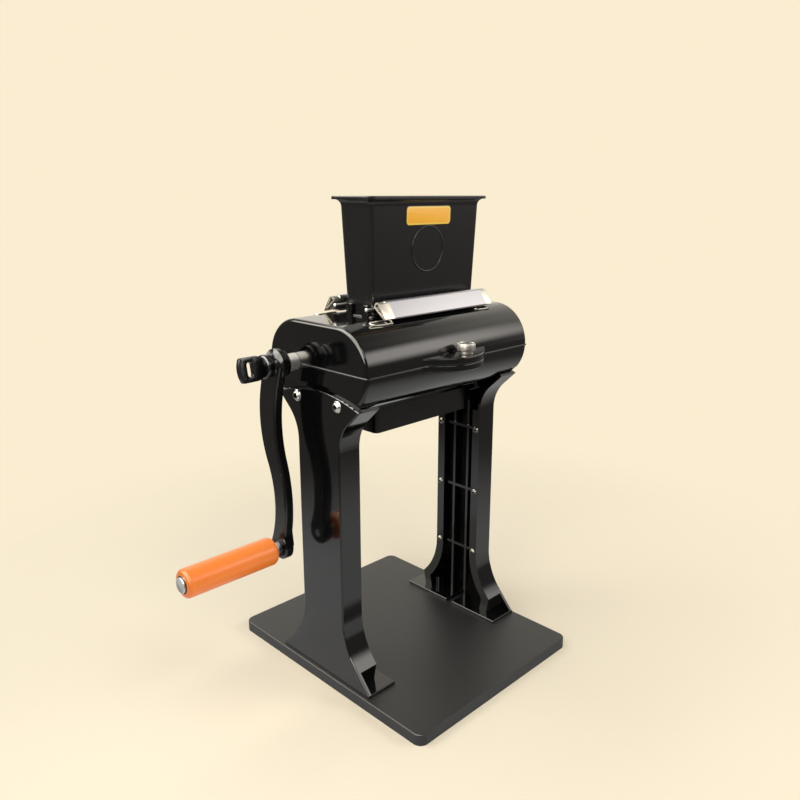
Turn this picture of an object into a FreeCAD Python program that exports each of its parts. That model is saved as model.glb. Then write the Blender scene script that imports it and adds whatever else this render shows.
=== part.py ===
"""Hand-cranked meat tenderizer on two legs and a base board.

Millimetres. X runs along the rollers with the crank at -X, the front is -Y, +Z is up, and the
origin is the centre of the base board's underside. Every size is a named cell of the sheet
"Sizes"; PLACES holds levels and distances worked out from those cells.
"""
import FreeCAD, Part
import Sketcher
import math
import os
import re
from FreeCAD import Placement, Rotation, Vector

os.makedirs("parts", exist_ok=True)
doc = FreeCAD.newDocument("MeatTenderizer")

# ------------------------------------------------------------------ driving dimensions
SIZES = {
    # base board
    "board_side_margin": 3, "board_depth": 278, "board_thickness": 11.5, "board_corner": 9,
    "board_edge": 1.2,
    # legs: a plate with inward flanges that flares into the foot and the head
    "leg_width": 60.8, "leg_depth": 25, "leg_wall": 4, "leg_edge": 1.6,
    "foot_width": 133, "foot_depth": 35.5, "foot_plate": 3, "foot_flare_radius": 69,
    "foot_flare_angle": 42, "head_width": 118, "head_drop": 33.2, "head_crown": 10.7,
    "head_flare_radius": 40, "head_flare_angle": 47, "flange_rise": 17,
    "heel_lean": 3.5, "foot_gap": 8, "foot_edge": 0.8,
    "flange_head_wall": 3, "flange_tip_gap": 1, "stiffener_drop": 58,
    "lip_width": 10, "lip_thickness": 3, "rib_thickness": 3, "rib_bottom_gap": 1.6,
    "rib_top_gap": 22.8, "stiffener_spacing": 19.4, "foot_boss_rise": 10,
    "lip_boss_radius": 4.2, "lip_screw_radius": 1.8, "lip_screw_head": 3.6,
    "foot_boss_radius": 6, "foot_bolt_radius": 3, "foot_bolt_head": 5.5,
    "foot_bolt_spread": 76,
    "leg_screw_spread": 58.6, "leg_screw_drop": 33, "leg_screw_radius": 3, "leg_screw_head": 4.8,
    "leg_screw_head_height": 3.2,
    # housing: a stadium section over two rollers, split at the shafts
    "shaft_height": 330, "roller_spacing": 60, "housing_radius": 40, "housing_overhang": 0.5,
    "housing_wall": 4, "housing_edge": 3.6, "end_wall": 5.5, "recess_drop": 16.5,
    "recess_radius": 190, "gear_bay": 37, "bearing_wall": 6, "chamber_margin": 4,
    "split_clearance": 0.3,
    # throat, hopper and outlet, all shifted away from the gears
    "throat_offset": 12.5, "throat_length": 138, "throat_width": 31, "throat_corner": 2.5,
    "collar_wall": 3, "collar_height": 12.5, "plinth_width": 1.8, "plinth_height": 1.6,
    "hopper_height": 97.5, "hopper_wall": 2.5, "hopper_flare_length": 3.6,
    "hopper_flare_width": 3.25, "hopper_corner": 4.5, "rim_reach_length": 8.7,
    "rim_reach_width": 6.35, "rim_corner": 9.5, "rim_thickness": 3, "rim_blend": 6.5, "rim_edge": 1,
    "spout_depth": 11, "spout_clearance": 0.3, "spout_floor": 2.5,
    "label_length": 62, "label_height": 18.2, "label_thickness": 0.3, "label_drop": 18.2,
    "label_corner": 2.2,
    "outlet_end_wall": 6.7, "outlet_width": 25.6, "outlet_wall": 2.4, "outlet_depth": 16,
    "chute_wall": 2.9, "chute_height": 24, "chute_gap": 10, "chute_corner": 5,
    "chute_clearance": 0.2, "chute_screw_radius": 1.5, "chute_screw_head": 2.8,
    # clamping ears and their hand screws
    "ear_length": 87, "ear_reach": 23, "ear_shoulder": 21.5, "ear_crown": 6,
    "ear_thickness": 6.5, "ear_edge": 1.2,
    "ear_screw_reach": 11, "ear_screw_offset": 3, "hand_screw_radius": 3, "hand_screw_length": 12.5,
    "hand_screw_head": 8.4, "hand_screw_head_height": 7.2, "hand_screw_neck": 6.3,
    "hand_screw_neck_height": 3.2, "hand_screw_slack": 0.3,
    # latch bars on rods beside the throat
    "latch_rod_radius": 1.5, "latch_rod_end": 13.5, "latch_rod_gap": 3.8,
    "latch_rod_drop": 3.5, "latch_eye_reach": 9.7, "latch_eye_rise": 5, "latch_eye_radius": 3.2,
    "latch_slope": 57, "latch_foot_reach": 20.7, "latch_foot_drop": 6.3, "latch_toe": 12,
    "latch_sheet": 1.2, "latch_strip_extra": 1, "latch_clip_length": 12.5,
    "latch_clip_end": 9.5, "latch_far_clip_length": 8, "latch_far_clip_end": 4.5,
    "latch_clip_sheet": 1, "latch_arm": 3,
    "knuckle_radius": 3.6, "knuckle_length": 8, "knuckle_inset": 1.5,
    # rollers
    "shaft_radius": 6, "running_gap": 0.05, "bush_radius": 10.5, "bush_length": 7,
    "bush_seat_gap": 0.02, "end_play": 0.3, "shaft_end": 3.5, "ring_radius": 9,
    "ring_thickness": 1.2,
    "blade_radius": 33, "blade_root": 27.5, "blade_teeth": 18, "blade_tip": 1.6,
    "blade_notch": 1, "blade_thickness": 1.5, "blade_pitch": 8, "blade_side_gap": 4,
    "spacer_radius": 14, "gear_module": 3, "gear_teeth": 20, "gear_width": 18,
    "gear_backlash": 0.35, "gear_pressure_angle": 20, "gear_boss_radius": 10,
    "comb_thickness": 2.4, "comb_bar": 2.5, "comb_bar_width": 10.5, "comb_bar_margin": 3.3,
    "comb_finger_height": 24, "comb_screw_radius": 1.6, "comb_screw_head": 3,
    "comb_screw_head_height": 2, "comb_screw_inset": 16.5, "comb_screw_line": 19.5,
    # crank
    "sleeve_length": 14, "sleeve_radius": 8.2, "crank_hub_radius": 15, "crank_hub_length": 16.5,
    "crank_hub_face": 10.5, "crank_thickness": 10, "crank_edge": 2, "crank_radius": 181.5,
    "crank_lean": 1, "crank_boss_radius": 12, "crank_shoulder_width": 27.2,
    "crank_shoulder_shift": 3.9, "crank_shoulder_drop": 17, "crank_waist_width": 19.7,
    "crank_waist_shift": 3.2, "crank_waist_sink": 1.25, "crank_ankle_width": 20.8,
    "crank_ankle_rise": 11.5, "crank_cut_slant": 4.8, "crank_upper_rear_bow": 0.084533,
    "crank_lower_rear_bow": 0.101795, "crank_lower_front_bow": 0.071026,
    "crank_upper_front_bow": 0.077333,
    "thumb_shank_radius": 3.95, "thumb_shank_length": 19, "thumb_bore_radius": 4,
    "thumb_bore_depth": 15, "thumb_neck_radius": 9.4, "thumb_neck_length": 1.6,
    "thumb_collar_radius": 11, "thumb_collar_length": 5.8, "thumb_collar_edge": 1.2,
    "thumb_tab_length": 25, "thumb_tab_width": 23, "thumb_tab_thickness": 5.5,
    "thumb_tab_corner": 5, "thumb_slot_length": 13.5, "thumb_slot_width": 4.4,
    "grip_length": 96.5, "grip_radius": 13.6, "grip_round": 4, "grip_gap": 8,
    "grip_pin_radius": 4, "grip_cap_radius": 6.4, "grip_cap_height": 2, "grip_cap_gap": 0.2,
    "washer_radius": 8.5, "washer_thickness": 3,
}

# ------------------------------------------------------------------ worked-out places
PLACES = {
    "leg_half": "leg_width/2",
    "foot_half": "foot_width/2",
    "foot_top": "board_thickness+foot_plate",
    "foot_flare_y": "leg_half+foot_flare_radius*(1-cos(foot_flare_angle))",
    "foot_flare_start": "foot_top+(foot_half-foot_flare_y)/tan(foot_flare_angle)"
                        "+foot_flare_radius*sin(foot_flare_angle)",
    "foot_flare_z": "foot_flare_start-foot_flare_radius*sin(foot_flare_angle)",
    "head_half": "head_width/2",
    "head_shoulder": "shaft_height-head_drop",
    "head_flare_y": "leg_half+head_flare_radius*(1-cos(head_flare_angle))",
    "head_flare_z": "head_shoulder-(head_half-head_flare_y)/tan(head_flare_angle)",
    "head_flare_start": "head_flare_z-head_flare_radius*sin(head_flare_angle)",
    "head_arch_radius": "(head_half*head_half+head_crown*head_crown)/(2*head_crown)",
    "flange_start": "foot_top+flange_rise",
    "stiffener_top": "shaft_height-stiffener_drop",
    "flange_foot_y": "foot_half-flange_rise*tan(foot_flare_angle)",
    "heel_y": "flange_foot_y-heel_lean",
    "rib_low": "foot_flare_start+rib_bottom_gap",
    "rib_high": "head_flare_start-rib_top_gap",
    "rib_middle": "(rib_low+rib_high)/2",
    "rib_spacing": "(rib_high-rib_low)/2",
    "lip_x": "leg_depth-lip_thickness",
    "lip_y": "leg_half-lip_width",
    "lip_middle": "(leg_half-lip_width/2)",
    "roller_y": "roller_spacing/2",
    "housing_side": "roller_y+housing_radius",
    "housing_top": "shaft_height+housing_radius",
    "housing_floor": "shaft_height-housing_radius",
    "inner_radius": "housing_radius-housing_wall",
    "throat_half": "throat_length/2",
    "chamber_start": "throat_offset-throat_half-chamber_margin",
    "chamber_end": "throat_offset+throat_half+chamber_margin",
    "divider_x": "chamber_start-bearing_wall",
    "far_bay": "chamber_end+bearing_wall",
    "inner_x": "gear_bay-divider_x",
    "recess_x": "inner_x+end_wall",
    "leg_reach": "recess_x+leg_wall",
    "housing_half": "leg_reach+housing_overhang",
    "housing_length": "2*housing_half",
    "recess_depth": "housing_half-recess_x",
    "board_length": "2*(leg_reach+board_side_margin)",
    "collar_half_length": "throat_half+collar_wall",
    "collar_half_width": "throat_width/2+collar_wall",
    "collar_top": "housing_top+collar_height",
    "rim_top": "collar_top+hopper_height",
    "rim_bottom": "rim_top-rim_thickness",
    "hopper_top_length": "2*(collar_half_length+hopper_flare_length)",
    "hopper_top_width": "2*(collar_half_width+hopper_flare_width)",
    "rim_length": "hopper_top_length+2*rim_reach_length",
    "rim_width": "hopper_top_width+2*rim_reach_width",
    "hopper_lean": "atan((hopper_top_width/2-collar_half_width)/(rim_bottom-collar_top))",
    "label_z": "rim_top-label_drop",
    "label_y": "collar_half_width+(label_z-collar_top)*tan(hopper_lean)+0.01",
    "outlet_bottom": "housing_floor-outlet_depth",
    "outlet_length": "throat_length-2*outlet_end_wall",
    "neck_half_length": "outlet_length/2+outlet_wall",
    "neck_half_width": "outlet_width/2+outlet_wall",
    "chute_half_length": "neck_half_length+chute_clearance+chute_wall",
    "chute_half_width": "neck_half_width+chute_clearance+chute_wall",
    "chute_top": "housing_floor-chute_gap",
    "ear_screw_y": "housing_side+ear_screw_reach",
    "ear_root": "housing_side-3",
    "ear_crown_half": "ear_length/2-ear_shoulder",
    "ear_crown_radius": "(ear_crown_half*ear_crown_half+ear_crown*ear_crown)/(2*ear_crown)",
    "ear_shoulder_fall": "ear_reach-ear_crown",
    "ear_shoulder_chord": "sqrt(ear_shoulder*ear_shoulder+ear_shoulder_fall*ear_shoulder_fall)",
    "ear_shoulder_bend": "atan(ear_shoulder_fall/ear_shoulder)"
                         "-asin(ear_crown_half/ear_crown_radius)",
    "ear_shoulder_radius": "ear_shoulder_chord/(2*sin(ear_shoulder_bend))",
    "latch_y": "collar_half_width+latch_rod_gap",
    "latch_z": "collar_top-latch_rod_drop",
    "latch_rod_length": "throat_length+2*latch_rod_end",
    "latch_strip_length": "throat_length+2*latch_strip_extra",
    "latch_clip_reach": "throat_half+latch_clip_end",
    "latch_far_clip_reach": "throat_half+latch_far_clip_end",
    "knuckle_spread": "throat_length-2*(knuckle_inset+knuckle_length)",
    "latch_eye_y": "latch_y+latch_eye_reach",
    "latch_eye_z": "latch_z+latch_eye_rise",
    "latch_foot_y": "latch_y+latch_foot_reach",
    "latch_foot_z": "latch_z-latch_foot_drop",
    "blade_steps": "floor((throat_length-blade_side_gap)/blade_pitch)",
    "blade_start": "throat_offset-blade_pitch*blade_steps/2-blade_thickness/2",
    "comb_bar_length": "blade_pitch*blade_steps+comb_thickness+2*comb_bar_margin",
    "spacer_start": "chamber_start+(bush_length-bearing_wall)/2+end_play",
    "hub_x": "-housing_half-sleeve_length-crank_hub_length",
    "arm_x": "hub_x+2",
    "shaft_start": "hub_x+6",
    "shaft_stop": "far_bay+shaft_end",
    "waist_drop": "crank_radius/2+crank_waist_sink",
    "ankle_drop": "crank_radius-crank_ankle_rise",
    "ankle_y": "roller_y-crank_lean",
    "grip_z": "shaft_height-crank_radius",
    "grip_x": "arm_x-grip_gap",
}

sheet = doc.addObject("Spreadsheet::Sheet", "Sizes")
for row, (alias, value) in enumerate(SIZES.items(), start=1):
    sheet.set(f"A{row}", str(value))
    sheet.setAlias(f"A{row}", alias)
doc.recompute()


def formula(text):
    """The expression that FreeCAD evaluates: names of PLACES written out, cells as Sizes.name."""
    def spell(match):
        word = match.group(0)
        if word in PLACES:
            return f"({formula(PLACES[word])})"
        return f"Sizes.{word}" if word in SIZES else word
    return re.sub(r"[a-z][a-z_]*", spell, str(text))


def number(text):
    """The value of a formula now, in millimetres or degrees."""
    return float(sheet.evalExpression(formula(text)))


def bind(thing, prop, text):
    """Ties one property to a formula."""
    thing.setExpression(prop, formula(text))


def place(thing, x="0", y="0", z="0", turn=None):
    """Puts a piece at a corner or centre given as formulas, after an optional turn."""
    thing.Placement = Placement(Vector(), turn or Rotation())
    for axis, text in zip("xyz", (x, y, z)):
        bind(thing, f".Placement.Base.{axis}", text)
    return thing


ALONG = {"x": Rotation(Vector(0, 1, 0), 90), "y": Rotation(Vector(1, 0, 0), -90), "z": Rotation()}
HALF_TURN = Rotation(Vector(0, 0, 1), 180)
PLANES = {"yz": "YZ_Plane", "xy": "XY_Plane"}


# ------------------------------------------------------------------ shapes
def block(name, size, corner):
    """A box from its lowest corner."""
    piece = doc.addObject("Part::Box", name)
    for prop, text in zip(("Length", "Width", "Height"), size):
        bind(piece, prop, text)
    return place(piece, *corner)


def rod(name, axis, radius, length, start):
    """A cylinder that runs along an axis from the centre of its first end."""
    piece = doc.addObject("Part::Cylinder", name)
    bind(piece, "Radius", radius)
    bind(piece, "Height", length)
    return place(piece, *start, turn=ALONG[axis])


def join(name, pieces):
    """One solid out of pieces that touch or overlap."""
    fused = doc.addObject("Part::MultiFuse", name)
    fused.Shapes = pieces
    fused.Refine = True
    return fused


def cut(name, base, tools):
    """The base without its tools."""
    tool = tools[0] if len(tools) == 1 else join(name + "_tools", tools)
    piece = doc.addObject("Part::Cut", name)
    piece.Base = base
    piece.Tool = tool
    piece.Refine = True
    return piece


def together(name, pieces):
    """Separate solids in one sub-part, such as identical screws."""
    group = doc.addObject("Part::Compound", name)
    group.Links = pieces
    return group


def draw(sketch, corners, flip=False):
    """A closed outline through corners (across, up), or (across, up, radius, side) where an arc
    leaves the corner with its centre to the left (+1) or right (-1). flip mirrors it across."""
    sign = "-" if flip else ""
    texts = [(f"{sign}({c[0]})", f"({c[1]})") for c in corners]
    points = [Vector(number(a), number(b), 0) for a, b in texts]
    shapes, ends = [], []
    for i, corner in enumerate(corners):
        start, stop = points[i], points[(i + 1) % len(points)]
        if len(corner) == 2:
            shapes.append(Part.LineSegment(start, stop))
            ends.append((1, 2))
            continue
        side = -corner[3] if flip else corner[3]
        radius, chord = number(corner[2]), stop - start
        height = math.sqrt(max(radius ** 2 - chord.Length ** 2 / 4, 0))
        left = Vector(-chord.y, chord.x, 0).normalize()
        centre = (start + stop) / 2 + left * height * side
        angles = [math.atan2((p - centre).y, (p - centre).x) for p in (start, stop)]
        if side < 0:
            angles.reverse()
        shapes.append(Part.ArcOfCircle(Part.Circle(centre, Vector(0, 0, 1), radius), *angles))
        ends.append((1, 2) if side > 0 else (2, 1))
    first = sketch.GeometryCount
    sketch.addGeometry(shapes, False)
    for i, corner in enumerate(corners):
        after = (i + 1) % len(corners)
        add(sketch, "Coincident", first + i, ends[i][1], first + after, ends[after][0])
        for kind, text, value in zip(("DistanceX", "DistanceY"), texts[i],
                                     (points[i].x, points[i].y)):
            place_point(sketch, kind, first + i, ends[i][0], text, value)
        if len(corner) > 2:
            index = add(sketch, "Radius", first + i, number(corner[2]))
            sketch.setExpression(f"Constraints[{index}]", formula(corner[2]))


def add(sketch, *constraint):
    return sketch.addConstraint(Sketcher.Constraint(*constraint))


def place_point(sketch, kind, geometry, end, text, value):
    """Holds a point at its distance from the origin, along one of the sketch's axes."""
    if abs(value) < 1e-9:
        add(sketch, "PointOnObject", geometry, end, -2 if kind == "DistanceX" else -1)
        return
    index = add(sketch, kind, -1, 1, geometry, end, value)
    sketch.setExpression(f"Constraints[{index}]", formula(text))


def circle(sketch, across, up, radius):
    """A full circle in a sketch."""
    x, y, r = number(across), number(up), number(radius)
    index = sketch.addGeometry(Part.Circle(Vector(x, y, 0), Vector(0, 0, 1), r), False)
    place_point(sketch, "DistanceX", index, 3, across, x)
    place_point(sketch, "DistanceY", index, 3, up, y)
    held = add(sketch, "Radius", index, r)
    sketch.setExpression(f"Constraints[{held}]", formula(radius))


def new_sketch(body, plane, level="0"):
    """A sketch on one of the body's own planes, or parallel to it at a level."""
    sketch = body.newObject("Sketcher::SketchObject", body.Name + "_outline")
    support = [f for f in body.Origin.OriginFeatures if f.Role == PLANES[plane]][0]
    sketch.AttachmentSupport = [(support, "")]
    sketch.MapMode = "FlatFace"
    bind(sketch, ".AttachmentOffset.Base.z", level)
    return sketch


def pad(body, sketch, length):
    """Material over a sketch, along its plane's normal."""
    feature = body.newObject("PartDesign::Pad", body.Name + "_pad")
    feature.Profile = sketch
    bind(feature, "Length", length)
    return feature


def prism(name, plane, corners, start, length, flip=False):
    """A body of one outline, raised from a level by a length."""
    body = doc.addObject("PartDesign::Body", name)
    sketch = new_sketch(body, plane, start)
    draw(sketch, corners, flip)
    pad(body, sketch, length)
    return body


def turned(name, outline, x="0", y="0", z="0", turn=None):
    """A body turned about its own Z axis from (radius, height) corners."""
    body = doc.addObject("PartDesign::Body", name)
    sketch = body.newObject("Sketcher::SketchObject", name + "_outline")
    support = [f for f in body.Origin.OriginFeatures if f.Role == "XZ_Plane"][0]
    sketch.AttachmentSupport = [(support, "")]
    sketch.MapMode = "FlatFace"
    draw(sketch, outline)
    feature = body.newObject("PartDesign::Revolution", name + "_turn")
    feature.Profile = sketch
    feature.ReferenceAxis = (sketch, ["V_Axis"])
    feature.Angle = 360
    return place(body, x, y, z, turn)


def round_edges(body, radius, wanted):
    """Rounds those edges of the body's last feature whose middle point passes a test."""
    doc.recompute()
    base = body.Tip
    names = [f"Edge{i + 1}" for i, edge in enumerate(base.Shape.Edges)
             if wanted(edge, edge.valueAt((edge.FirstParameter + edge.LastParameter) / 2))]
    feature = body.newObject("PartDesign::Fillet", body.Name + "_round")
    feature.Base = (base, names)
    bind(feature, "Radius", radius)
    return feature


def rounded_rectangle(half_length, half_width, corner):
    """Corners of a rectangle about the origin with round corners, anticlockwise."""
    l, w, r = f"({half_length})", f"({half_width})", f"({corner})"
    return [(f"{l}-{r}", f"-{w}", r, 1), (l, f"-{w}+{r}"), (l, f"{w}-{r}", r, 1),
            (f"{l}-{r}", w), (f"-{l}+{r}", w, r, 1), (f"-{l}", f"{w}-{r}"),
            (f"-{l}", f"-{w}+{r}", r, 1), (f"-{l}+{r}", f"-{w}")]


NODES = []


def node(piece, name):
    """Names a finished sub-part."""
    piece.Label = name
    NODES.append(piece)
    return piece


# ------------------------------------------------------------------ base board
def make_base_board():
    """A flat board with round corners; the foot bolts come up through it."""
    board = prism("board", "xy", rounded_rectangle("board_length/2", "board_depth/2", "board_corner"),
                  "0", "board_thickness")
    top = number("board_thickness")
    round_edges(board, "board_edge", lambda edge, middle: middle.z > top - 0.01)
    holes = []
    for i, (x, y) in enumerate(foot_bolt_places()):
        holes.append(rod(f"board_hole_{i}", "z", "foot_bolt_radius+0.2", "board_thickness",
                         (x, y, "0")))
        holes.append(rod(f"board_sink_{i}", "z", "foot_bolt_head+0.5", "board_thickness/2-1",
                         (x, y, "0")))
    node(cut("board_cut", board, holes), "base_board")


def foot_bolt_places():
    """Where the four foot bolts stand, two under each leg."""
    across = "(leg_reach-leg_wall-foot_boss_radius-2)"
    return [(f"{s}{across}", f"{t}foot_bolt_spread/2") for s in ("-", "") for t in ("-", "")]


def make_foot_bolts():
    """Pan-head bolts from below into the feet."""
    bolts = []
    for i, (x, y) in enumerate(foot_bolt_places()):
        head = rod(f"foot_bolt_head_{i}", "z", "foot_bolt_head", "board_thickness/2-3", (x, y, "2"))
        shank = rod(f"foot_bolt_shank_{i}", "z", "foot_bolt_radius", "board_thickness/2+foot_plate+6",
                    (x, y, "board_thickness/2-1"))
        bolts.append(join(f"foot_bolt_{i}", [head, shank]))
    node(together("foot_bolt_set", bolts), "foot_bolts")


# ------------------------------------------------------------------ legs
def leg_outline():
    """The leg seen along the rollers, from its foot at one side over the head to the other."""
    side = [("foot_half", "board_thickness"), ("foot_half", "foot_top"),
            ("foot_flare_y", "foot_flare_z", "foot_flare_radius", -1),
            ("leg_half", "foot_flare_start"),
            ("leg_half", "head_flare_start", "head_flare_radius", -1),
            ("head_flare_y", "head_flare_z"),
            ("head_half", "head_shoulder", "head_arch_radius", 1)]
    far = [("-head_half", "head_shoulder"),
           ("-head_flare_y", "head_flare_z", "head_flare_radius", -1),
           ("-leg_half", "head_flare_start"),
           ("-leg_half", "foot_flare_start", "foot_flare_radius", -1),
           ("-foot_flare_y", "foot_flare_z"),
           ("-foot_half", "foot_top"), ("-foot_half", "board_thickness")]
    return side + far


def flange_outline():
    """The flange's band along the flank, from its heel on the foot to the head's corner."""
    turn, lean, thin = "foot_flare_angle", "head_flare_angle", "flange_head_wall"
    low_inner_y = f"leg_half+foot_flare_radius-(foot_flare_radius+leg_wall)*cos({turn})"
    low_inner_z = f"foot_flare_start-(foot_flare_radius+leg_wall)*sin({turn})"
    tip_y = f"(head_half-flange_tip_gap*sin({lean}))"
    tip_z = f"(head_shoulder-flange_tip_gap*cos({lean}))"
    return [("heel_y", "foot_top-0.5"), ("flange_foot_y", "flange_start"),
            ("foot_flare_y", "foot_flare_z", "foot_flare_radius", -1),
            ("leg_half", "foot_flare_start"),
            ("leg_half", "head_flare_start", "head_flare_radius", -1),
            ("head_flare_y", "head_flare_z"),
            (tip_y, tip_z),
            (f"{tip_y}-{thin}*cos({lean})", f"{tip_z}+{thin}*sin({lean})"),
            (f"head_flare_y-{thin}*cos({lean})", f"head_flare_z+{thin}*sin({lean})",
             f"head_flare_radius+{thin}", 1),
            (f"leg_half-{thin}", "head_flare_start"),
            ("leg_half-leg_wall", "head_flare_start"),
            ("leg_half-leg_wall", "foot_flare_start", "foot_flare_radius+leg_wall", 1),
            (low_inner_y, low_inner_z),
            (f"flange_foot_y-leg_wall/cos({turn})", "flange_start"),
            ("heel_y-leg_wall", "foot_top-0.5")]


def lip_outline():
    """The lip along the flank's open edge, from the foot to the start of the head's flare."""
    turn = "foot_flare_angle"

    def bend(inward):
        radius = f"foot_flare_radius+{inward}"
        return (f"leg_half+foot_flare_radius-({radius})*cos({turn})",
                f"foot_flare_start-({radius})*sin({turn})")

    outer, inner = bend("1"), bend("lip_width")
    return [("heel_y-1", "foot_top-0.5"), outer + ("foot_flare_radius+1", -1),
            ("leg_half-1", "foot_flare_start"), ("leg_half-1", "head_flare_start"),
            ("lip_y", "head_flare_start"),
            ("lip_y", "foot_flare_start", "foot_flare_radius+lip_width", 1),
            inner, ("heel_y-lip_width", "foot_top-0.5")]


def make_leg(name, side):
    """A moulded channel: plate, two flanges with lips and heels, ribs, bosses and two foot pads.
    It is drawn with its outer face at x = 0 and its depth towards +x."""
    bolt_x = "leg_wall+foot_boss_radius+2"
    rib_levels = [f"rib_middle+rib_spacing*{k}" for k in (-1, 0, 1)]
    plate = prism(f"{name}_plate", "yz", leg_outline(), "0", "leg_wall")
    foot, top = number("board_thickness"), number("foot_top")
    round_edges(plate, "leg_edge", lambda edge, middle: middle.x < 0.01 and middle.z > foot + 0.01)
    parts = [plate]
    for flip in (False, True):
        tag = f"{name}_{'front' if flip else 'rear'}"
        sign = "-" if flip else ""
        parts.append(prism(f"{tag}_flange", "yz", flange_outline(), "leg_edge",
                           "leg_depth-leg_edge", flip))
        parts.append(prism(f"{tag}_lip", "yz", lip_outline(), "lip_x", "lip_thickness", flip))
        parts.append(block(f"{tag}_stiffener",
                           ("leg_depth-leg_wall-5", "rib_thickness", "stiffener_top-foot_top+0.5"),
                           ("leg_wall-0.5", f"{sign}stiffener_spacing/2-rib_thickness/2",
                            "foot_top-0.5")))
        parts.append(rod(f"{tag}_foot_boss", "z", "foot_boss_radius", "foot_plate+foot_boss_rise",
                         (bolt_x, f"{sign}foot_bolt_spread/2", "board_thickness")))
        sole = [("0", "foot_gap/2"), ("foot_depth", "foot_gap/2"), ("foot_depth", "foot_half"),
                ("0", "foot_half")]
        if flip:
            sole = [(x, f"-({y})") for x, y in reversed(sole)]
        pad_body = prism(f"{tag}_sole", "xy", sole, "board_thickness", "foot_plate")
        round_edges(pad_body, "foot_edge",
                    lambda edge, middle: middle.z > top - 0.01 and middle.x > 0.01)
        parts.append(pad_body)
        for k, level in enumerate(rib_levels):
            parts.append(rod(f"{tag}_lip_boss_{k}", "x", "lip_boss_radius", "leg_depth-leg_wall",
                             ("leg_wall", f"{sign}lip_middle", level)))
    for k, level in enumerate(rib_levels):
        parts.append(block(f"{name}_rib_{k}",
                           ("leg_depth-leg_wall-3.5", "leg_width-leg_wall", "rib_thickness"),
                           ("leg_wall-0.5", "-(leg_half-leg_wall/2)", f"{level}-rib_thickness/2")))
    whole = join(f"{name}_moulding", parts)
    holes = []
    for t in ("-", ""):
        holes.append(rod(f"{name}_screw_hole_{len(holes)}", "x", "leg_screw_radius+0.2", "leg_wall+2",
                         ("-1", f"{t}leg_screw_spread/2", "shaft_height-leg_screw_drop")))
        holes.append(rod(f"{name}_bolt_hole_{len(holes)}", "z", "foot_bolt_radius", "foot_plate+7",
                         (bolt_x, f"{t}foot_bolt_spread/2", "board_thickness-1")))
        for level in rib_levels:
            holes.append(rod(f"{name}_lip_hole_{len(holes)}", "x", "lip_screw_radius",
                             "leg_depth-leg_wall-3", ("leg_wall+4", f"{t}lip_middle", level)))
    leg = cut(f"{name}_cut", whole, holes)
    if side < 0:
        place(leg, "-leg_reach")
    else:
        place(leg, "leg_reach", turn=HALF_TURN)
    node(leg, name)


def make_lip_screws():
    """Small pan-head screws in the lips of both legs, six to a leg."""
    screws = []
    for s in (-1, 1):
        face = f"{-s}*(leg_reach-leg_depth)"
        for t in (-1, 1):
            for k in (-1, 0, 1):
                y, z = f"{t}*lip_middle", f"rib_middle+rib_spacing*{k}"
                tag = f"lip_screw_{len(screws)}"
                if s > 0:
                    head_x, shank_x = face, f"{face}-8"
                else:
                    head_x, shank_x = f"{face}-1.8", face
                head = rod(f"{tag}_head", "x", "lip_screw_head", "1.8", (head_x, y, z))
                shank = rod(f"{tag}_shank", "x", "lip_screw_radius", "8", (shank_x, y, z))
                screws.append(join(tag, [head, shank]))
    node(together("lip_screw_set", screws), "leg_lip_screws")


def make_leg_screws():
    """Socket screws that hold the legs to the housing's end walls."""
    screws = []
    for s in (-1, 1):
        for t in (-1, 1):
            tag = f"leg_screw_{len(screws)}"
            y, z = f"{t}*leg_screw_spread/2", "shaft_height-leg_screw_drop"
            head_x = "leg_reach" if s > 0 else "-leg_reach-leg_screw_head_height"
            socket_x = "leg_reach+leg_screw_head_height-2" if s > 0 else head_x
            shank_x = "leg_reach-leg_wall-end_wall+1" if s > 0 else "-leg_reach"
            head = rod(f"{tag}_head", "x", "leg_screw_head", "leg_screw_head_height", (head_x, y, z))
            shank = rod(f"{tag}_shank", "x", "leg_screw_radius", "leg_wall+end_wall-1", (shank_x, y, z))
            socket = doc.addObject("Part::Prism", f"{tag}_socket")
            socket.Polygon = 6
            bind(socket, "Circumradius", "leg_screw_head/2")
            bind(socket, "Height", "2")
            place(socket, socket_x, y, z, turn=ALONG["x"])
            screws.append(cut(tag, join(f"{tag}_body", [head, shank]), [socket]))
    node(together("leg_screw_set", screws), "leg_screws")


make_base_board()
make_foot_bolts()
make_leg("left_leg", -1)
make_leg("right_leg", 1)
make_lip_screws()
make_leg_screws()


# ------------------------------------------------------------------ housing and hood
def half_section(upper, radius):
    """Half of the housing's section, above or below the shafts."""
    side = f"(roller_y+{radius})"
    if upper:
        return [(side, "shaft_height", radius, 1), ("roller_y", f"shaft_height+{radius}"),
                ("-roller_y", f"shaft_height+{radius}", radius, 1), (f"-{side}", "shaft_height")]
    return [(f"-{side}", "shaft_height", radius, 1), ("-roller_y", f"shaft_height-{radius}"),
            ("roller_y", f"shaft_height-{radius}", radius, 1), (side, "shaft_height")]


def shell(name, upper):
    """The outside of one half of the housing, with its end edges rounded."""
    body = prism(name, "yz", half_section(upper, "housing_radius"), "-housing_half", "housing_length")
    end, seam = number("housing_half"), number("shaft_height")
    round_edges(body, "housing_edge",
                lambda edge, middle: abs(abs(middle.x) - end) < 0.01 and abs(middle.z - seam) > 0.01)
    return body


def bays(tag, upper):
    """The hollows of one half: gear bay, roller chamber and end bay."""
    spans = [("-inner_x", "gear_bay"), ("chamber_start", "chamber_end-chamber_start"),
             ("far_bay", "inner_x-far_bay")]
    return [prism(f"{tag}_bay_{i}", "yz", half_section(upper, "inner_radius"), start, length)
            for i, (start, length) in enumerate(spans)]


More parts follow.
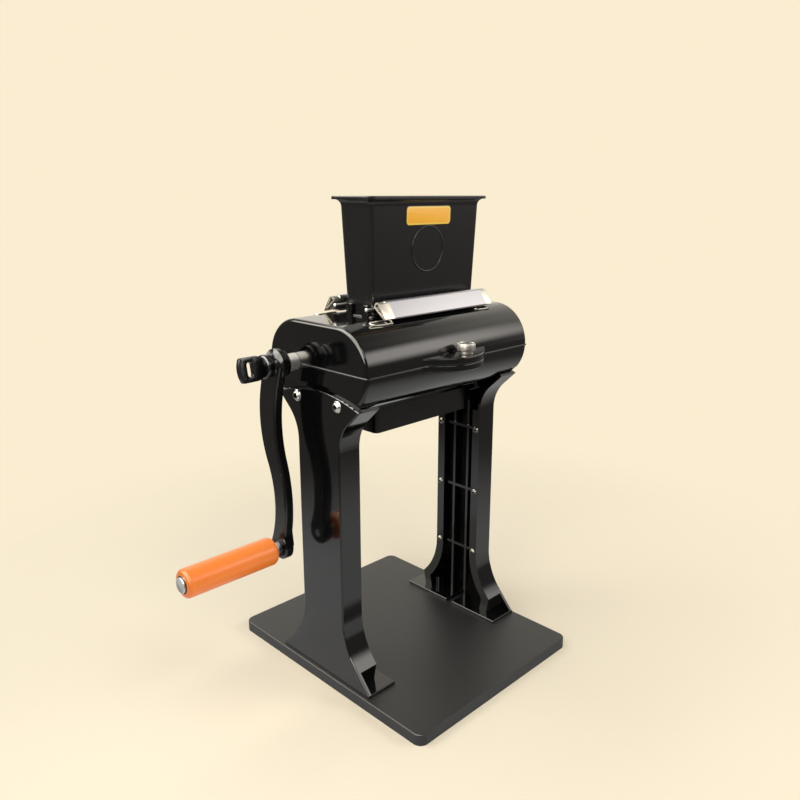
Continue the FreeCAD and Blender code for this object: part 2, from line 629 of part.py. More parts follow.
def bush_seats(tag, gap):
    """Round seats for the bushings of both shafts, and the way out for the drive shaft."""
    seats = []
    for sign in ("-", ""):
        for start, length in (("-inner_x-bush_length", "bush_length"), ("divider_x", "bearing_wall"),
                              ("chamber_end", "bearing_wall")):
            seats.append(rod(f"{tag}_seat_{len(seats)}", "x", f"bush_radius+{gap}", length,
                             (start, f"{sign}roller_y", "shaft_height")))
    seats.append(rod(f"{tag}_way_out", "x", "shaft_radius+0.6", "housing_half-inner_x",
                     ("-housing_half", "roller_y", "shaft_height")))
    return seats


def ears(tag, level):
    """A rounded lug on the front and one on the rear, for the hand screws."""
    lugs = []
    for flip in (False, True):
        turn, sign = (-1, "-") if flip else (1, "")
        left, right = "-ear_length/2", "ear_length/2"
        low, shoulder = f"{sign}housing_side", f"{sign}(housing_side+ear_shoulder_fall)"
        outline = [(left, f"{sign}ear_root"), (right, f"{sign}ear_root"),
                   (right, low, "ear_shoulder_radius", turn),
                   ("ear_crown_half", shoulder, "ear_crown_radius", turn),
                   ("-ear_crown_half", shoulder, "ear_shoulder_radius", turn), (left, low)]
        lug = prism(f"{tag}_ear_{int(flip)}", "xy", outline, level, "ear_thickness")
        reach = number("housing_side") + 1
        round_edges(lug, "ear_edge", lambda edge, middle: abs(middle.y) > reach and edge.Length > 20)
        lugs.append(lug)
    return lugs


def ear_holes(tag, level):
    """Holes in the lugs for the hand screws' shanks."""
    return [rod(f"{tag}_ear_hole_{i}", "z", "hand_screw_radius+hand_screw_slack", "ear_thickness+2",
                ("ear_screw_offset", f"{sign}ear_screw_y", f"{level}-1")) for i, sign in enumerate(("-", ""))]


def comb_screw_places():
    """Three screws under each comb."""
    return [(f"throat_offset+(comb_bar_length/2-comb_screw_inset)*({k})", f"{sign}comb_screw_line")
            for sign in ("-", "") for k in (-1, 0, 1)]


def sleeve_of(name, half_length, half_width, corner, start, length):
    """A rounded box about the throat's centre line."""
    box = prism(name, "xy", rounded_rectangle(half_length, half_width, corner), start, length)
    return place(box, "throat_offset")


def make_lower_housing():
    """The lower half with its outlet neck, lugs, bearing walls and seats for the legs."""
    tag = "tub"
    low_ear = "shaft_height-ear_thickness"
    neck = sleeve_of(f"{tag}_neck", "neck_half_length", "neck_half_width", "throat_corner+outlet_wall",
                     "outlet_bottom", "outlet_depth+2")
    whole = join(f"{tag}_whole", [shell(f"{tag}_shell", False), neck] + ears(tag, low_ear))
    slot = sleeve_of(f"{tag}_slot", "outlet_length/2", "outlet_width/2", "throat_corner",
                     "outlet_bottom-1", "outlet_depth+housing_wall+3")
    tools = bays(tag, False) + bush_seats(tag, "bush_seat_gap") + ear_holes(tag, low_ear) + [slot]
    for i, start in enumerate(("-housing_half", "recess_x")):
        tools.append(rod(f"{tag}_recess_{i}", "x", "recess_radius", "recess_depth",
                         (start, "0", "shaft_height-recess_drop-recess_radius")))
    for s in ("-recess_x", "inner_x"):
        for t in ("-", ""):
            tools.append(rod(f"{tag}_leg_hole_{len(tools)}", "x", "leg_screw_radius", "end_wall",
                             (s, f"{t}leg_screw_spread/2", "shaft_height-leg_screw_drop")))
    for x, y in comb_screw_places():
        tools.append(rod(f"{tag}_comb_hole_{len(tools)}", "z", "comb_screw_radius", "housing_wall+2",
                         (x, y, "housing_floor-1")))
    for x in chute_screw_places():
        tools.append(rod(f"{tag}_chute_hole_{len(tools)}", "y", "chute_screw_radius",
                         "outlet_wall+2", (x, "outlet_width/2-1", "chute_top-4")))
    node(cut(f"{tag}_cut", whole, tools), "lower_housing")


def chute_screw_places():
    """Two screws through the chute's rear wall."""
    return [f"throat_offset{sign}outlet_length/3" for sign in ("-", "+")]


def make_chute():
    """A rounded frame pushed over the outlet neck and held by two screws."""
    outer = sleeve_of("chute_outer", "chute_half_length", "chute_half_width", "chute_corner",
                      "chute_top-chute_height", "chute_height")
    inner = sleeve_of("chute_inner", "chute_half_length-chute_wall", "chute_half_width-chute_wall",
                      "chute_corner-chute_wall", "chute_top-chute_height-1", "chute_height+2")
    holes = [rod(f"chute_hole_{i}", "y", "chute_screw_radius+0.1", "chute_wall+2",
                 (x, "chute_half_width-chute_wall-1", "chute_top-4"))
             for i, x in enumerate(chute_screw_places())]
    node(cut("chute_cut", outer, [inner] + holes), "outlet_chute")
    screws = []
    for i, x in enumerate(chute_screw_places()):
        head = rod(f"chute_screw_head_{i}", "y", "chute_screw_head", "1.6",
                   (x, "chute_half_width", "chute_top-4"))
        shank = rod(f"chute_screw_shank_{i}", "y", "chute_screw_radius", "chute_wall+outlet_wall",
                    (x, "chute_half_width-chute_wall-outlet_wall", "chute_top-4"))
        screws.append(join(f"chute_screw_{i}", [head, shank]))
    node(together("chute_screw_set", screws), "chute_screws")


def make_upper_hood():
    """The upper half with the throat's collar, lugs and knuckles for the latch rods."""
    tag = "hood"
    corner = "throat_corner+collar_wall"
    collar = sleeve_of(f"{tag}_collar", "collar_half_length", "collar_half_width", corner,
                       "housing_top-2", "collar_height+2")
    plinth = sleeve_of(f"{tag}_plinth", "collar_half_length+plinth_width",
                       "collar_half_width+plinth_width", f"{corner}+plinth_width",
                       "housing_top-2", "plinth_height+2")
    top = number("housing_top") + 0.1
    round_edges(plinth, "1.4", lambda edge, middle: middle.z > top)
    pieces = [shell(f"{tag}_shell", True), collar, plinth] + ears(tag, "shaft_height")
    tools = []
    for s in (-1, 1):
        for t in ("-", ""):
            start = f"throat_offset+({s})*knuckle_spread/2-({int(s < 0)})*knuckle_length"
            web_y = "-latch_y" if t else "collar_half_width-1"
            pieces.append(rod(f"{tag}_knuckle_{len(pieces)}", "x", "knuckle_radius", "knuckle_length",
                              (start, f"{t}latch_y", "latch_z")))
            pieces.append(block(f"{tag}_web_{len(pieces)}",
                                ("knuckle_length", "latch_y-collar_half_width+1", "knuckle_radius+2.5"),
                                (start, web_y, "latch_z-knuckle_radius")))
            tools.append(rod(f"{tag}_rod_hole_{len(tools)}", "x", "latch_rod_radius+running_gap",
                             "knuckle_length+2", (f"{start}-1", f"{t}latch_y", "latch_z")))
    throat = sleeve_of(f"{tag}_throat", "throat_half", "throat_width/2", "throat_corner",
                       "housing_top-housing_wall-1", "collar_height+housing_wall+2")
    tools += bays(tag, True) + bush_seats(tag, "split_clearance") + ear_holes(tag, "shaft_height")
    node(cut(f"{tag}_cut", join(f"{tag}_whole", pieces), tools + [throat]), "upper_hood")


make_lower_housing()
make_chute()
make_upper_hood()


# ------------------------------------------------------------------ hopper
def loft(body, sections, cutting=False):
    """Material, or a hollow, between rounded rectangles (half_length, half_width, corner, level)."""
    sketches = []
    for i, (half_length, half_width, corner, level) in enumerate(sections):
        sketch = new_sketch(body, "xy", level)
        draw(sketch, rounded_rectangle(half_length, half_width, corner))
        sketches.append(sketch)
    kind = "PartDesign::SubtractiveLoft" if cutting else "PartDesign::AdditiveLoft"
    feature = body.newObject(kind, body.Name + "_loft")
    feature.Profile = sketches[0]
    feature.Sections = sketches[1:]
    feature.Ruled = True
    return feature


def make_hopper():
    """A tapered tray with a rolled rim and a spout that drops into the collar."""
    body = doc.addObject("PartDesign::Body", "hopper_body")
    top_length, top_width = "hopper_top_length/2", "hopper_top_width/2"
    loft(body, [("collar_half_length", "collar_half_width", "hopper_corner", "collar_top"),
                (top_length, top_width, "hopper_corner", "rim_bottom")])
    rim = new_sketch(body, "xy", "rim_bottom")
    draw(rim, rounded_rectangle("rim_length/2", "rim_width/2", "rim_corner"))
    pad(body, rim, "rim_thickness")
    spout = new_sketch(body, "xy", "collar_top-spout_depth")
    reach, width = "throat_half-spout_clearance", "throat_width/2-spout_clearance"
    draw(spout, rounded_rectangle(reach, width, "throat_corner"))
    pad(body, spout, "spout_depth+0.5")
    low, high = number("rim_bottom"), number("rim_top")
    wide = number("hopper_top_width") / 2 + 1
    round_edges(body, "rim_blend",
                lambda edge, middle: abs(middle.z - low) < 0.01 and abs(middle.y) < wide
                and abs(middle.x) < number("hopper_top_length") / 2 + 1)
    round_edges(body, "rim_edge", lambda edge, middle: middle.z > high - 0.01)
    wall = "hopper_wall"
    loft(body, [(f"collar_half_length-{wall}", f"collar_half_width-{wall}", f"hopper_corner-{wall}",
                 "collar_top+spout_floor"),
                (f"{top_length}-{wall}", f"{top_width}-{wall}", f"hopper_corner-{wall}", "rim_top")], True)
    hole = new_sketch(body, "xy", "collar_top-spout_depth-1")
    draw(hole, rounded_rectangle(f"{reach}-{wall}", f"{width}-{wall}", "1"))
    pocket = body.newObject("PartDesign::Pocket", "hopper_outlet")
    pocket.Profile = hole
    pocket.Reversed = True
    bind(pocket, "Length", "spout_depth+spout_floor+2")
    narrow = number("rim_width") / 2 - 3
    round_edges(body, "rim_blend-1", lambda edge, middle: middle.z > high - 0.01 and abs(middle.y) < narrow
                and abs(middle.x) < number("rim_length") / 2 - 4)
    place(body, "throat_offset")
    node(body, "hopper")


def make_label():
    """A thin blank plate on the hopper's front wall."""
    plate = prism("label_plate", "xy",
                  rounded_rectangle("label_length/2", "label_height/2", "label_corner"),
                  "0", "label_thickness")
    place(plate, "throat_offset+1", "-label_y", "label_z", turn=Rotation(Vector(1, 0, 0), 90))
    bind(plate, ".Placement.Rotation.Angle", "90 deg+hopper_lean")
    node(plate, "hopper_label")


make_hopper()
make_label()


# ------------------------------------------------------------------ latches and hand screws
def ring(name, outer, inner, start, length, y, z):
    """A tube along the rollers."""
    tube = rod(f"{name}_outer", "x", outer, length, (start, y, z))
    bore = rod(f"{name}_inner", "x", inner, f"{length}+2", (f"{start}-1", y, z))
    return cut(name, tube, [bore])


def make_latch(name, flip):
    """A folded strip with a rolled eye, a clip and arm at each end, and the rod it turns on."""
    sign = "-" if flip else ""
    eye_y = f"{sign}latch_eye_y"
    across, up = "sin(latch_slope)", "cos(latch_slope)"

    def off_eye(radius):
        return (f"latch_eye_y+({radius})*{across}", f"latch_eye_z+({radius})*{up}")

    foot = f"latch_foot_y-latch_sheet/{across}"
    strip_start = "throat_offset-latch_strip_length/2"
    fold = [("latch_foot_y-latch_toe", "latch_foot_z-latch_sheet"),
            ("latch_foot_y", "latch_foot_z-latch_sheet"), ("latch_foot_y", "latch_foot_z"),
            off_eye("latch_eye_radius"), off_eye("latch_eye_radius-latch_sheet"),
            (foot, "latch_foot_z"), ("latch_foot_y-latch_toe", "latch_foot_z")]
    strip = prism(f"{name}_strip", "yz", fold, strip_start, "latch_strip_length", flip)
    eye = ring(f"{name}_eye", "latch_eye_radius", "latch_eye_radius-latch_sheet", strip_start,
               "latch_strip_length", eye_y, "latch_eye_z")
    node(join(f"{name}_bar_whole", [strip, eye]), f"{name}_bar")
    clips = []
    heel = f"latch_foot_y+latch_clip_sheet/{across}"
    for s in (-1, 1):
        tag = f"{name}_clip_{int(s > 0)}"
        far = "_far" if s > 0 else ""
        end, length = f"throat_offset+({s})*latch{far}_clip_reach", f"latch{far}_clip_length"
        start = f"{end}-({int(s > 0)})*{length}"
        arm_start = f"{end}-({int(s > 0)})*latch_arm"
        toe_length = f"(latch{far}_clip_reach-latch_strip_length/2)"
        toe_start = f"{end}-({int(s > 0)})*{toe_length}"
        plate = prism(f"{tag}_plate", "yz",
                      [("latch_foot_y", "latch_foot_z"), (heel, "latch_foot_z"),
                       off_eye("latch_eye_radius+latch_clip_sheet"), off_eye("latch_eye_radius")],
                      start, length, flip)
        roll = ring(f"{tag}_roll", "latch_eye_radius+latch_clip_sheet", "latch_eye_radius", start,
                    length, eye_y, "latch_eye_z")
        toe = prism(f"{tag}_toe", "yz",
                    [("latch_foot_y-latch_toe", "latch_foot_z-latch_sheet-0.4"),
                     (heel, "latch_foot_z-latch_sheet-0.4"), (heel, "latch_foot_z+0.1"),
                     ("latch_foot_y-latch_toe", "latch_foot_z+0.1")],
                    toe_start, toe_length, flip)
        arm = prism(f"{tag}_arm", "yz",
                    [("latch_y-1", "latch_z-2.6"),
                     ("latch_foot_y-latch_toe+0.5", "latch_foot_z-latch_sheet"),
                     ("latch_foot_y-latch_toe+3", "latch_foot_z"), ("latch_y+1.5", "latch_z+2.2")],
                    arm_start, "latch_arm", flip)
        boss = rod(f"{tag}_boss", "x", "latch_rod_radius+1.2", "latch_arm",
                   (arm_start, f"{sign}latch_y", "latch_z"))
        bore = rod(f"{tag}_bore", "x", "latch_rod_radius", "latch_arm+2",
                   (f"{arm_start}-1", f"{sign}latch_y", "latch_z"))
        room = prism(f"{tag}_room", "yz", fold, strip_start, "latch_strip_length", flip)
        clips.append(cut(tag, join(f"{tag}_whole", [plate, roll, toe, arm, boss]), [bore, room]))
    node(together(f"{name}_clip_set", clips), f"{name}_clips")
    node(rod(f"{name}_pivot", "x", "latch_rod_radius", "latch_rod_length",
             ("throat_offset-latch_rod_length/2", f"{sign}latch_y", "latch_z")), f"{name}_rod")


def make_hand_screw(name, sign):
    """A round-headed hand screw that clamps the hood's lug to the housing's."""
    neck, head = "hand_screw_neck", "hand_screw_head"
    shoulder = "hand_screw_length+hand_screw_neck_height"
    top = f"{shoulder}+hand_screw_head_height"
    outline = [("0", "0"), ("hand_screw_radius-0.5", "0"), ("hand_screw_radius", "0.5"),
               ("hand_screw_radius", "hand_screw_length"), (neck, "hand_screw_length"),
               (neck, shoulder), (f"{head}-0.5", shoulder), (head, f"{shoulder}+0.5"),
               (head, f"{top}-0.8"), (f"{head}-0.8", top), ("0", top)]
    screw = turned(f"{name}_turned", outline, "ear_screw_offset", f"{sign}ear_screw_y",
                   "shaft_height+ear_thickness-hand_screw_length")
    node(screw, name)


make_latch("front_latch", True)
make_latch("rear_latch", False)
make_hand_screw("front_hood_screw", "-")
make_hand_screw("rear_hood_screw", "")


# ------------------------------------------------------------------ rollers, gears and combs
def make_bushings(name, sign):
    """Three plain bushings on one shaft line."""
    middle = "(bush_length-bearing_wall)/2"
    starts = ["-inner_x-bush_length", f"divider_x-{middle}", f"chamber_end-{middle}"]
    bushes = [ring(f"{name}_{i}", "bush_radius", "shaft_radius+running_gap", start, "bush_length",
                   f"{sign}roller_y", "shaft_height") for i, start in enumerate(starts)]
    node(together(f"{name}_set", bushes), name)


def make_shaft(name, sign, start):
    """A plain shaft; the drive shaft has a threaded bore in its outer end."""
    body = rod(f"{name}_bar", "x", "shaft_radius", f"shaft_stop-({start})",
               (start, f"{sign}roller_y", "shaft_height"))
    if not sign:
        bore = rod(f"{name}_bore", "x", "thumb_bore_radius", "thumb_bore_depth+1",
                   (f"{start}-1", "roller_y", "shaft_height"))
        body = cut(f"{name}_bored", body, [bore])
    node(body, name)


def blade():
    """One toothed disc with its bore on the X axis."""
    body = doc.addObject("PartDesign::Body", "blade")
    disc = new_sketch(body, "yz")
    circle(disc, "0", "0", "blade_radius")
    circle(disc, "0", "0", "shaft_radius")
    pad(body, disc, "blade_thickness")
    half = "(180/blade_teeth)"
    rim = "(blade_radius+1)"
    notch = new_sketch(body, "yz")
    draw(notch, [("blade_notch/2", "blade_root"),
                 (f"{rim}*sin({half})-blade_tip/2", f"{rim}*cos({half})+0.5"),
                 (f"-({rim}*sin({half})-blade_tip/2)", f"{rim}*cos({half})+0.5"),
                 ("-blade_notch/2", "blade_root")])
    pocket = body.newObject("PartDesign::Pocket", "blade_notch_cut")
    pocket.Profile = notch
    pocket.Type = 1
    pocket.Reversed = True
    ring_of = body.newObject("PartDesign::PolarPattern", "blade_notches")
    ring_of.Originals = [pocket]
    ring_of.Axis = (notch, ["N_Axis"])
    ring_of.Angle = 360
    bind(ring_of, "Occurrences", "blade_teeth")
    body.Tip = ring_of
    return body


def copy_of(piece, name, x, y, angle=0):
    """The same piece again, further along a shaft and turned about it."""
    link = doc.addObject("App::Link", name)
    link.LinkedObject = piece
    return place(link, x, y, "shaft_height", turn=Rotation(Vector(1, 0, 0), angle))


def make_stack(name, sign, first, count, disc):
    """Toothed discs with spacers between them and a longer collar at each end."""
    step = 180 / number("blade_teeth")
    y = f"{sign}roller_y"
    discs = [copy_of(disc, f"{name}_disc_{i}", f"{first}+blade_pitch*{i}", y, step * (i % 2))
             for i in range(count)]
    node(together(f"{name}_discs", discs), f"{name}_blades")
    spans = [("spacer_start", f"{first}-spacer_start")]
    for i in range(count - 1):
        spans.append((f"{first}+blade_pitch*{i}+blade_thickness", "blade_pitch-blade_thickness"))
    last = f"({first}+blade_pitch*{count - 1}+blade_thickness)"
    spans.append((last, f"chamber_end-(bush_length-bearing_wall)/2-end_play-{last}"))
    rings = [ring(f"{name}_spacer_{i}", "spacer_radius", "shaft_radius", start, length, y, "shaft_height")
             for i, (start, length) in enumerate(spans)]
    node(together(f"{name}_rings", rings), f"{name}_spacers")


def toothed_blank(name):
    """A spur gear blank along +Z: involute flanks between the root and outer circles."""
    teeth = int(number("gear_teeth"))
    pitch = number("gear_module*gear_teeth/2")
    outer, root = pitch + number("gear_module"), pitch - 1.25 * number("gear_module")
    pressure = math.radians(number("gear_pressure_angle"))
    base = pitch * math.cos(pressure)
    half = math.pi / (2 * teeth) - number("gear_backlash") / (4 * pitch)
    half += math.tan(pressure) - pressure
    flank = [(root, half)]
    for i in range(7):
        radius = base + (outer - base) * i / 6
        angle = math.acos(min(base / radius, 1))
        flank.append((radius, half - (math.tan(angle) - angle)))
    points = []
    for tooth in range(teeth):
        centre = 2 * math.pi * tooth / teeth
        for radius, offset in flank:
            points.append((radius, centre - offset))
        for radius, offset in reversed(flank):
            points.append((radius, centre + offset))
    corners = [Vector(r * math.cos(a), r * math.sin(a), 0) for r, a in points]
    face = Part.Face(Part.makePolygon(corners + corners[:1]))
    blank = doc.addObject("Part::Feature", name)
    blank.Shape = face.extrude(Vector(0, 0, number("gear_width")))
    return blank


def make_gear(name, sign, phase):
    """A spur gear with a long boss that keeps it between two bushings."""
    y = f"{sign}roller_y"
    blank = toothed_blank(f"{name}_blank")
    turn = ALONG["x"].multiply(Rotation(Vector(0, 0, 1), phase))
    place(blank, "-inner_x+gear_bay/2-gear_width/2", y, "shaft_height", turn=turn)
    length = "gear_bay-(bush_length-bearing_wall)/2-2*end_play"
    boss = rod(f"{name}_boss", "x", "gear_boss_radius", length, ("-inner_x+end_play", y, "shaft_height"))
    bore = rod(f"{name}_bore", "x", "shaft_radius", "gear_bay", ("-inner_x", y, "shaft_height"))
    node(cut(f"{name}_cut", join(f"{name}_whole", [blank, boss]), [bore]), name)


def make_comb(name, flip, first, count):
    """A bar on the tub's floor with fingers that reach between one roller's discs."""
    inner = "outlet_width/2+0.2"
    floor = "housing_floor+housing_wall"
    comb = prism(f"{name}_comb", "yz",
                 [(inner, floor), (f"{inner}+comb_bar_width", floor),
                  (f"{inner}+comb_bar_width", f"{floor}+comb_bar"), (inner, f"{floor}+comb_bar")],
                 "throat_offset-comb_bar_length/2", "comb_bar_length", flip)
    finger = new_sketch(comb, "yz", first)
    draw(finger, [(inner, floor), (f"{inner}+comb_bar_width", floor),
                  ("roller_y-3", f"{floor}+comb_finger_height-3"),
                  ("roller_y-8", f"{floor}+comb_finger_height")], flip)
    one = pad(comb, finger, "comb_thickness")
    row = comb.newObject("PartDesign::LinearPattern", f"{name}_row")
    row.Originals = [one]
    row.Direction = (finger, ["N_Axis"])
    bind(row, "Length", f"blade_pitch*{count - 1}")
    row.Occurrences = count
    comb.Tip = row
    sign = "-" if flip else ""
    holes = [rod(f"{name}_hole_{i}", "z", "comb_screw_radius", "comb_bar+1", (x, y, f"{floor}-1"))
             for i, (x, y) in enumerate(comb_screw_places()) if y.startswith("-") == flip]
    node(cut(f"{name}_cut", comb, holes), name)


def make_comb_screws():
    """Screws from below through the tub's floor into the combs."""
    screws = []
    for x, y in comb_screw_places():
        tag = f"comb_screw_{len(screws)}"
        head = rod(f"{tag}_head", "z", "comb_screw_head", "comb_screw_head_height",
                   (x, y, "housing_floor-comb_screw_head_height"))
        shank = rod(f"{tag}_shank", "z", "comb_screw_radius", "housing_wall+comb_bar",
                    (x, y, "housing_floor"))
        screws.append(join(tag, [head, shank]))
    node(together("comb_screw_set", screws), "comb_screws")


def make_ring_clip(name, sign):
    """A retaining ring outside the last bushing."""
    start = "far_bay+(bush_length-bearing_wall)/2+end_play"
    node(ring(f"{name}_ring", "ring_radius", "shaft_radius", start, "ring_thickness",
              f"{sign}roller_y", "shaft_height"), name)


make_bushings("drive_bushings", "")
make_bushings("driven_bushings", "-")
make_shaft("drive_shaft", "", "shaft_start")
make_shaft("driven_shaft", "-", "-inner_x-bush_length+0.3")
DISC = blade()
DRIVE_COUNT = int(number("blade_steps")) + 1
make_stack("drive", "", "blade_start", DRIVE_COUNT, DISC)
make_stack("driven", "-", "(blade_start+blade_pitch/2)", DRIVE_COUNT - 1, DISC)
make_gear("drive_gear", "", 0)
make_gear("driven_gear", "-", 180 / number("gear_teeth"))
make_ring_clip("drive_ring", "")
make_ring_clip("driven_ring", "-")
make_comb("front_comb", True, "blade_start+blade_thickness/2-comb_thickness/2", DRIVE_COUNT)
make_comb("rear_comb", False, "blade_start+(blade_pitch+blade_thickness-comb_thickness)/2",
          DRIVE_COUNT - 1)
make_comb_screws()


# ------------------------------------------------------------------ crank
def bow(length, rise):
    """The radius of an arc that rises by that share of its length."""
    return f"({length})*(0.25+{rise}*{rise})/(2*{rise})"


def crank_outline():
    """The arm seen along the shaft: an S that is wide at the hub and slim at the waist."""
    rear = {}
    front = {}
    for part, width, shift, drop in (
            ("shoulder", "crank_shoulder_width", "crank_shoulder_shift", "crank_shoulder_drop"),
            ("waist", "crank_waist_width", "crank_waist_shift", "waist_drop"),
            ("ankle", "crank_ankle_width", "-crank_lean+0.5", "ankle_drop")):
        middle = f"roller_y+{shift}"
        rear[part] = (f"{middle}+{width}/2", f"shaft_height-{drop}-crank_cut_slant/2")
        front[part] = (f"{middle}-{width}/2", f"shaft_height-{drop}+crank_cut_slant/2")
    upper, lower = "waist_drop-crank_shoulder_drop", "ankle_drop-waist_drop"
    side = "crank_hub_radius-1"
    edge = "crank_boss_radius-0.6"
    return [(f"roller_y+{side}", "shaft_height"),
            (*rear["shoulder"], bow(upper, "crank_upper_rear_bow"), -1),
            (*rear["waist"], bow(lower, "crank_lower_rear_bow"), 1),
            rear["ankle"],
            (f"ankle_y+{edge}", "grip_z+3"),
            (f"ankle_y-({edge})", "grip_z+3"),
            (*front["ankle"], bow(lower, "crank_lower_front_bow"), -1),
            (*front["waist"], bow(upper, "crank_upper_front_bow"), 1),
            front["shoulder"],
            (f"roller_y-({side})", "shaft_height")]


def make_crank_arm():
    """The arm with its hub on the drive shaft and a boss for the grip's pin."""
    arm = prism("crank_web", "yz", crank_outline(), "arm_x", "crank_thickness")
    round_edges(arm, "crank_edge", lambda edge, middle: edge.Length > 30)
    face = "crank_hub_face"
    hub = turned("crank_hub", [("0", "0"), (face, "0", "9", -1), ("crank_hub_radius", "7"),
                               ("crank_hub_radius", "crank_hub_length-5", "7", -1),
                               ("crank_hub_radius-2.5", "crank_hub_length"),
                               ("0", "crank_hub_length")],
                 "hub_x", "roller_y", "shaft_height", ALONG["x"])
    boss = turned("crank_boss", [("0", "0"), ("crank_boss_radius-1.5", "0"), ("crank_boss_radius", "1.5"),
                                 ("crank_boss_radius", "crank_thickness-1.5"),
                                 ("crank_boss_radius-1.5", "crank_thickness"), ("0", "crank_thickness")],
                  "arm_x", "ankle_y", "grip_z", ALONG["x"])
    tools = [rod("crank_shaft_bore", "x", "shaft_radius", "crank_hub_length",
                 ("shaft_start", "roller_y", "shaft_height")),
             rod("crank_screw_bore", "x", "thumb_bore_radius+0.2", "crank_hub_length",
                 ("hub_x-1", "roller_y", "shaft_height")),
             rod("crank_pin_bore", "x", "grip_pin_radius", "crank_thickness+2",
                 ("arm_x-1", "ankle_y", "grip_z"))]
    node(cut("crank_cut", join("crank_whole", [arm, hub, boss]), tools), "crank_arm")
    node(ring("sleeve_ring", "sleeve_radius", "shaft_radius", "-housing_half-sleeve_length",
              "sleeve_length-end_play", "roller_y", "shaft_height"), "shaft_sleeve")


def make_crank_screw():
    """A screw with a round collar and a flat tab that has a slot in it."""
    neck, collar, edge = "thumb_neck_length", "thumb_collar_radius", "thumb_collar_edge"
    rise = f"{neck}+thumb_collar_length"
    turned_part = turned("thumb_round",
                         [("0", "-thumb_shank_length"), ("thumb_shank_radius", "-thumb_shank_length"),
                          ("thumb_shank_radius", "0.2"), ("thumb_neck_radius", "0.2"),
                          ("thumb_neck_radius", neck), (f"{collar}-{edge}", neck),
                          (collar, f"{neck}+{edge}"), (collar, f"{rise}-{edge}"),
                          (f"{collar}-{edge}", rise), ("0", rise)],
                         "hub_x", "roller_y", "shaft_height", Rotation(Vector(0, 1, 0), -90))
    long, wide = "thumb_tab_length+2", "thumb_tab_width/2"
    tip = f"(hub_x-{neck}-thumb_collar_length-thumb_tab_length)"
    corner = "thumb_tab_corner"
    tab = doc.addObject("PartDesign::Body", "thumb_tab")
    side = tab.newObject("Sketcher::SketchObject", "thumb_tab_outline")
    support = [f for f in tab.Origin.OriginFeatures if f.Role == "XZ_Plane"][0]
    side.AttachmentSupport = [(support, "")]
    side.MapMode = "FlatFace"
    draw(side, [("0", f"-{wide}+{corner}", corner, 1), (corner, f"-{wide}"),
                (long, "-thumb_collar_radius+2"), (long, "thumb_collar_radius-2"),
                (corner, wide, corner, 1), ("0", f"{wide}-{corner}")])
    pad(tab, side, "thumb_tab_thickness")
    round_edges(tab, "1.2", lambda edge, middle: True)
    place(tab, tip, "roller_y+thumb_tab_thickness/2", "shaft_height")
    half = "(thumb_slot_length-thumb_slot_width)"
    slot_x = f"{tip}+thumb_tab_length*0.42"
    slot = block("thumb_slot", ("thumb_slot_width", "thumb_tab_thickness+4", half),
                 (f"{slot_x}-thumb_slot_width/2", "roller_y-thumb_tab_thickness/2-2",
                  f"shaft_height-{half}/2"))
    ends = [rod(f"thumb_slot_end_{i}", "y", "thumb_slot_width/2", "thumb_tab_thickness+4",
                (slot_x, "roller_y-thumb_tab_thickness/2-2", f"shaft_height{sign}{half}/2"))
            for i, sign in enumerate("-+")]
    node(cut("thumb_cut", join("thumb_whole", [turned_part, tab]), [slot] + ends), "crank_screw")


def make_grip():
    """A round grip that spins on a pin, with a washer against the arm."""
    grip = turned("grip_round_bar",
                  [("grip_pin_radius+running_gap", "0"), ("grip_radius-grip_round", "0", "grip_round", 1),
                   ("grip_radius", "grip_round"),
                   ("grip_radius", "grip_length-grip_round", "grip_round", 1),
                   ("grip_radius-grip_round", "grip_length"),
                   ("grip_pin_radius+running_gap", "grip_length")],
                  "grip_x-grip_length", "ankle_y", "grip_z", ALONG["x"])
    node(grip, "grip")
    cap_x = "grip_x-grip_length-grip_cap_gap-grip_cap_height"
    cap, height = "grip_cap_radius", "grip_cap_height"
    length = f"arm_x+crank_thickness-({cap_x})"
    pin = turned("grip_pin_bar", [("0", "0"), (f"{cap}-1", "0"), (cap, "1"), (cap, height),
                                  ("grip_pin_radius", height), ("grip_pin_radius", length), ("0", length)],
                 cap_x, "ankle_y", "grip_z", ALONG["x"])
    node(pin, "grip_pin")
    node(ring("grip_washer_ring", "washer_radius", "grip_pin_radius", "arm_x-washer_thickness",
              "washer_thickness", "ankle_y", "grip_z"), "grip_washer")


make_crank_arm()
make_crank_screw()
make_grip()


# ------------------------------------------------------------------ check and write
doc.recompute()
failed = [o.Label for o in doc.Objects if "Invalid" in o.State or "Error" in o.State]
if failed:
    raise SystemExit(f"objects failed: {failed}")
for piece in NODES:
    shape = piece.Shape
    if shape.isNull() or not shape.isValid():
        raise SystemExit(f"{piece.Label} has no valid shape")
    shape.exportStep(f"parts/{piece.Label}.step")
    print(f"{piece.Label:22s} solids {len(shape.Solids):3d}  volume {shape.Volume / 1000:9.2f} cm3")
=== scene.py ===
# %% [markdown]
# # A hand-cranked meat tenderizer
# Two rollers of toothed discs sit in a split, stadium-shaped housing. Two channel legs carry it over
# a board, a tapered hopper feeds it from above, and a crank on the left drives it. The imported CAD
# model is the frame: every piece here is in metres, in the CAD's own place, and rides on a CAD body.

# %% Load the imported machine
import math
import bmesh
import bpy
from mathutils import Matrix, Vector


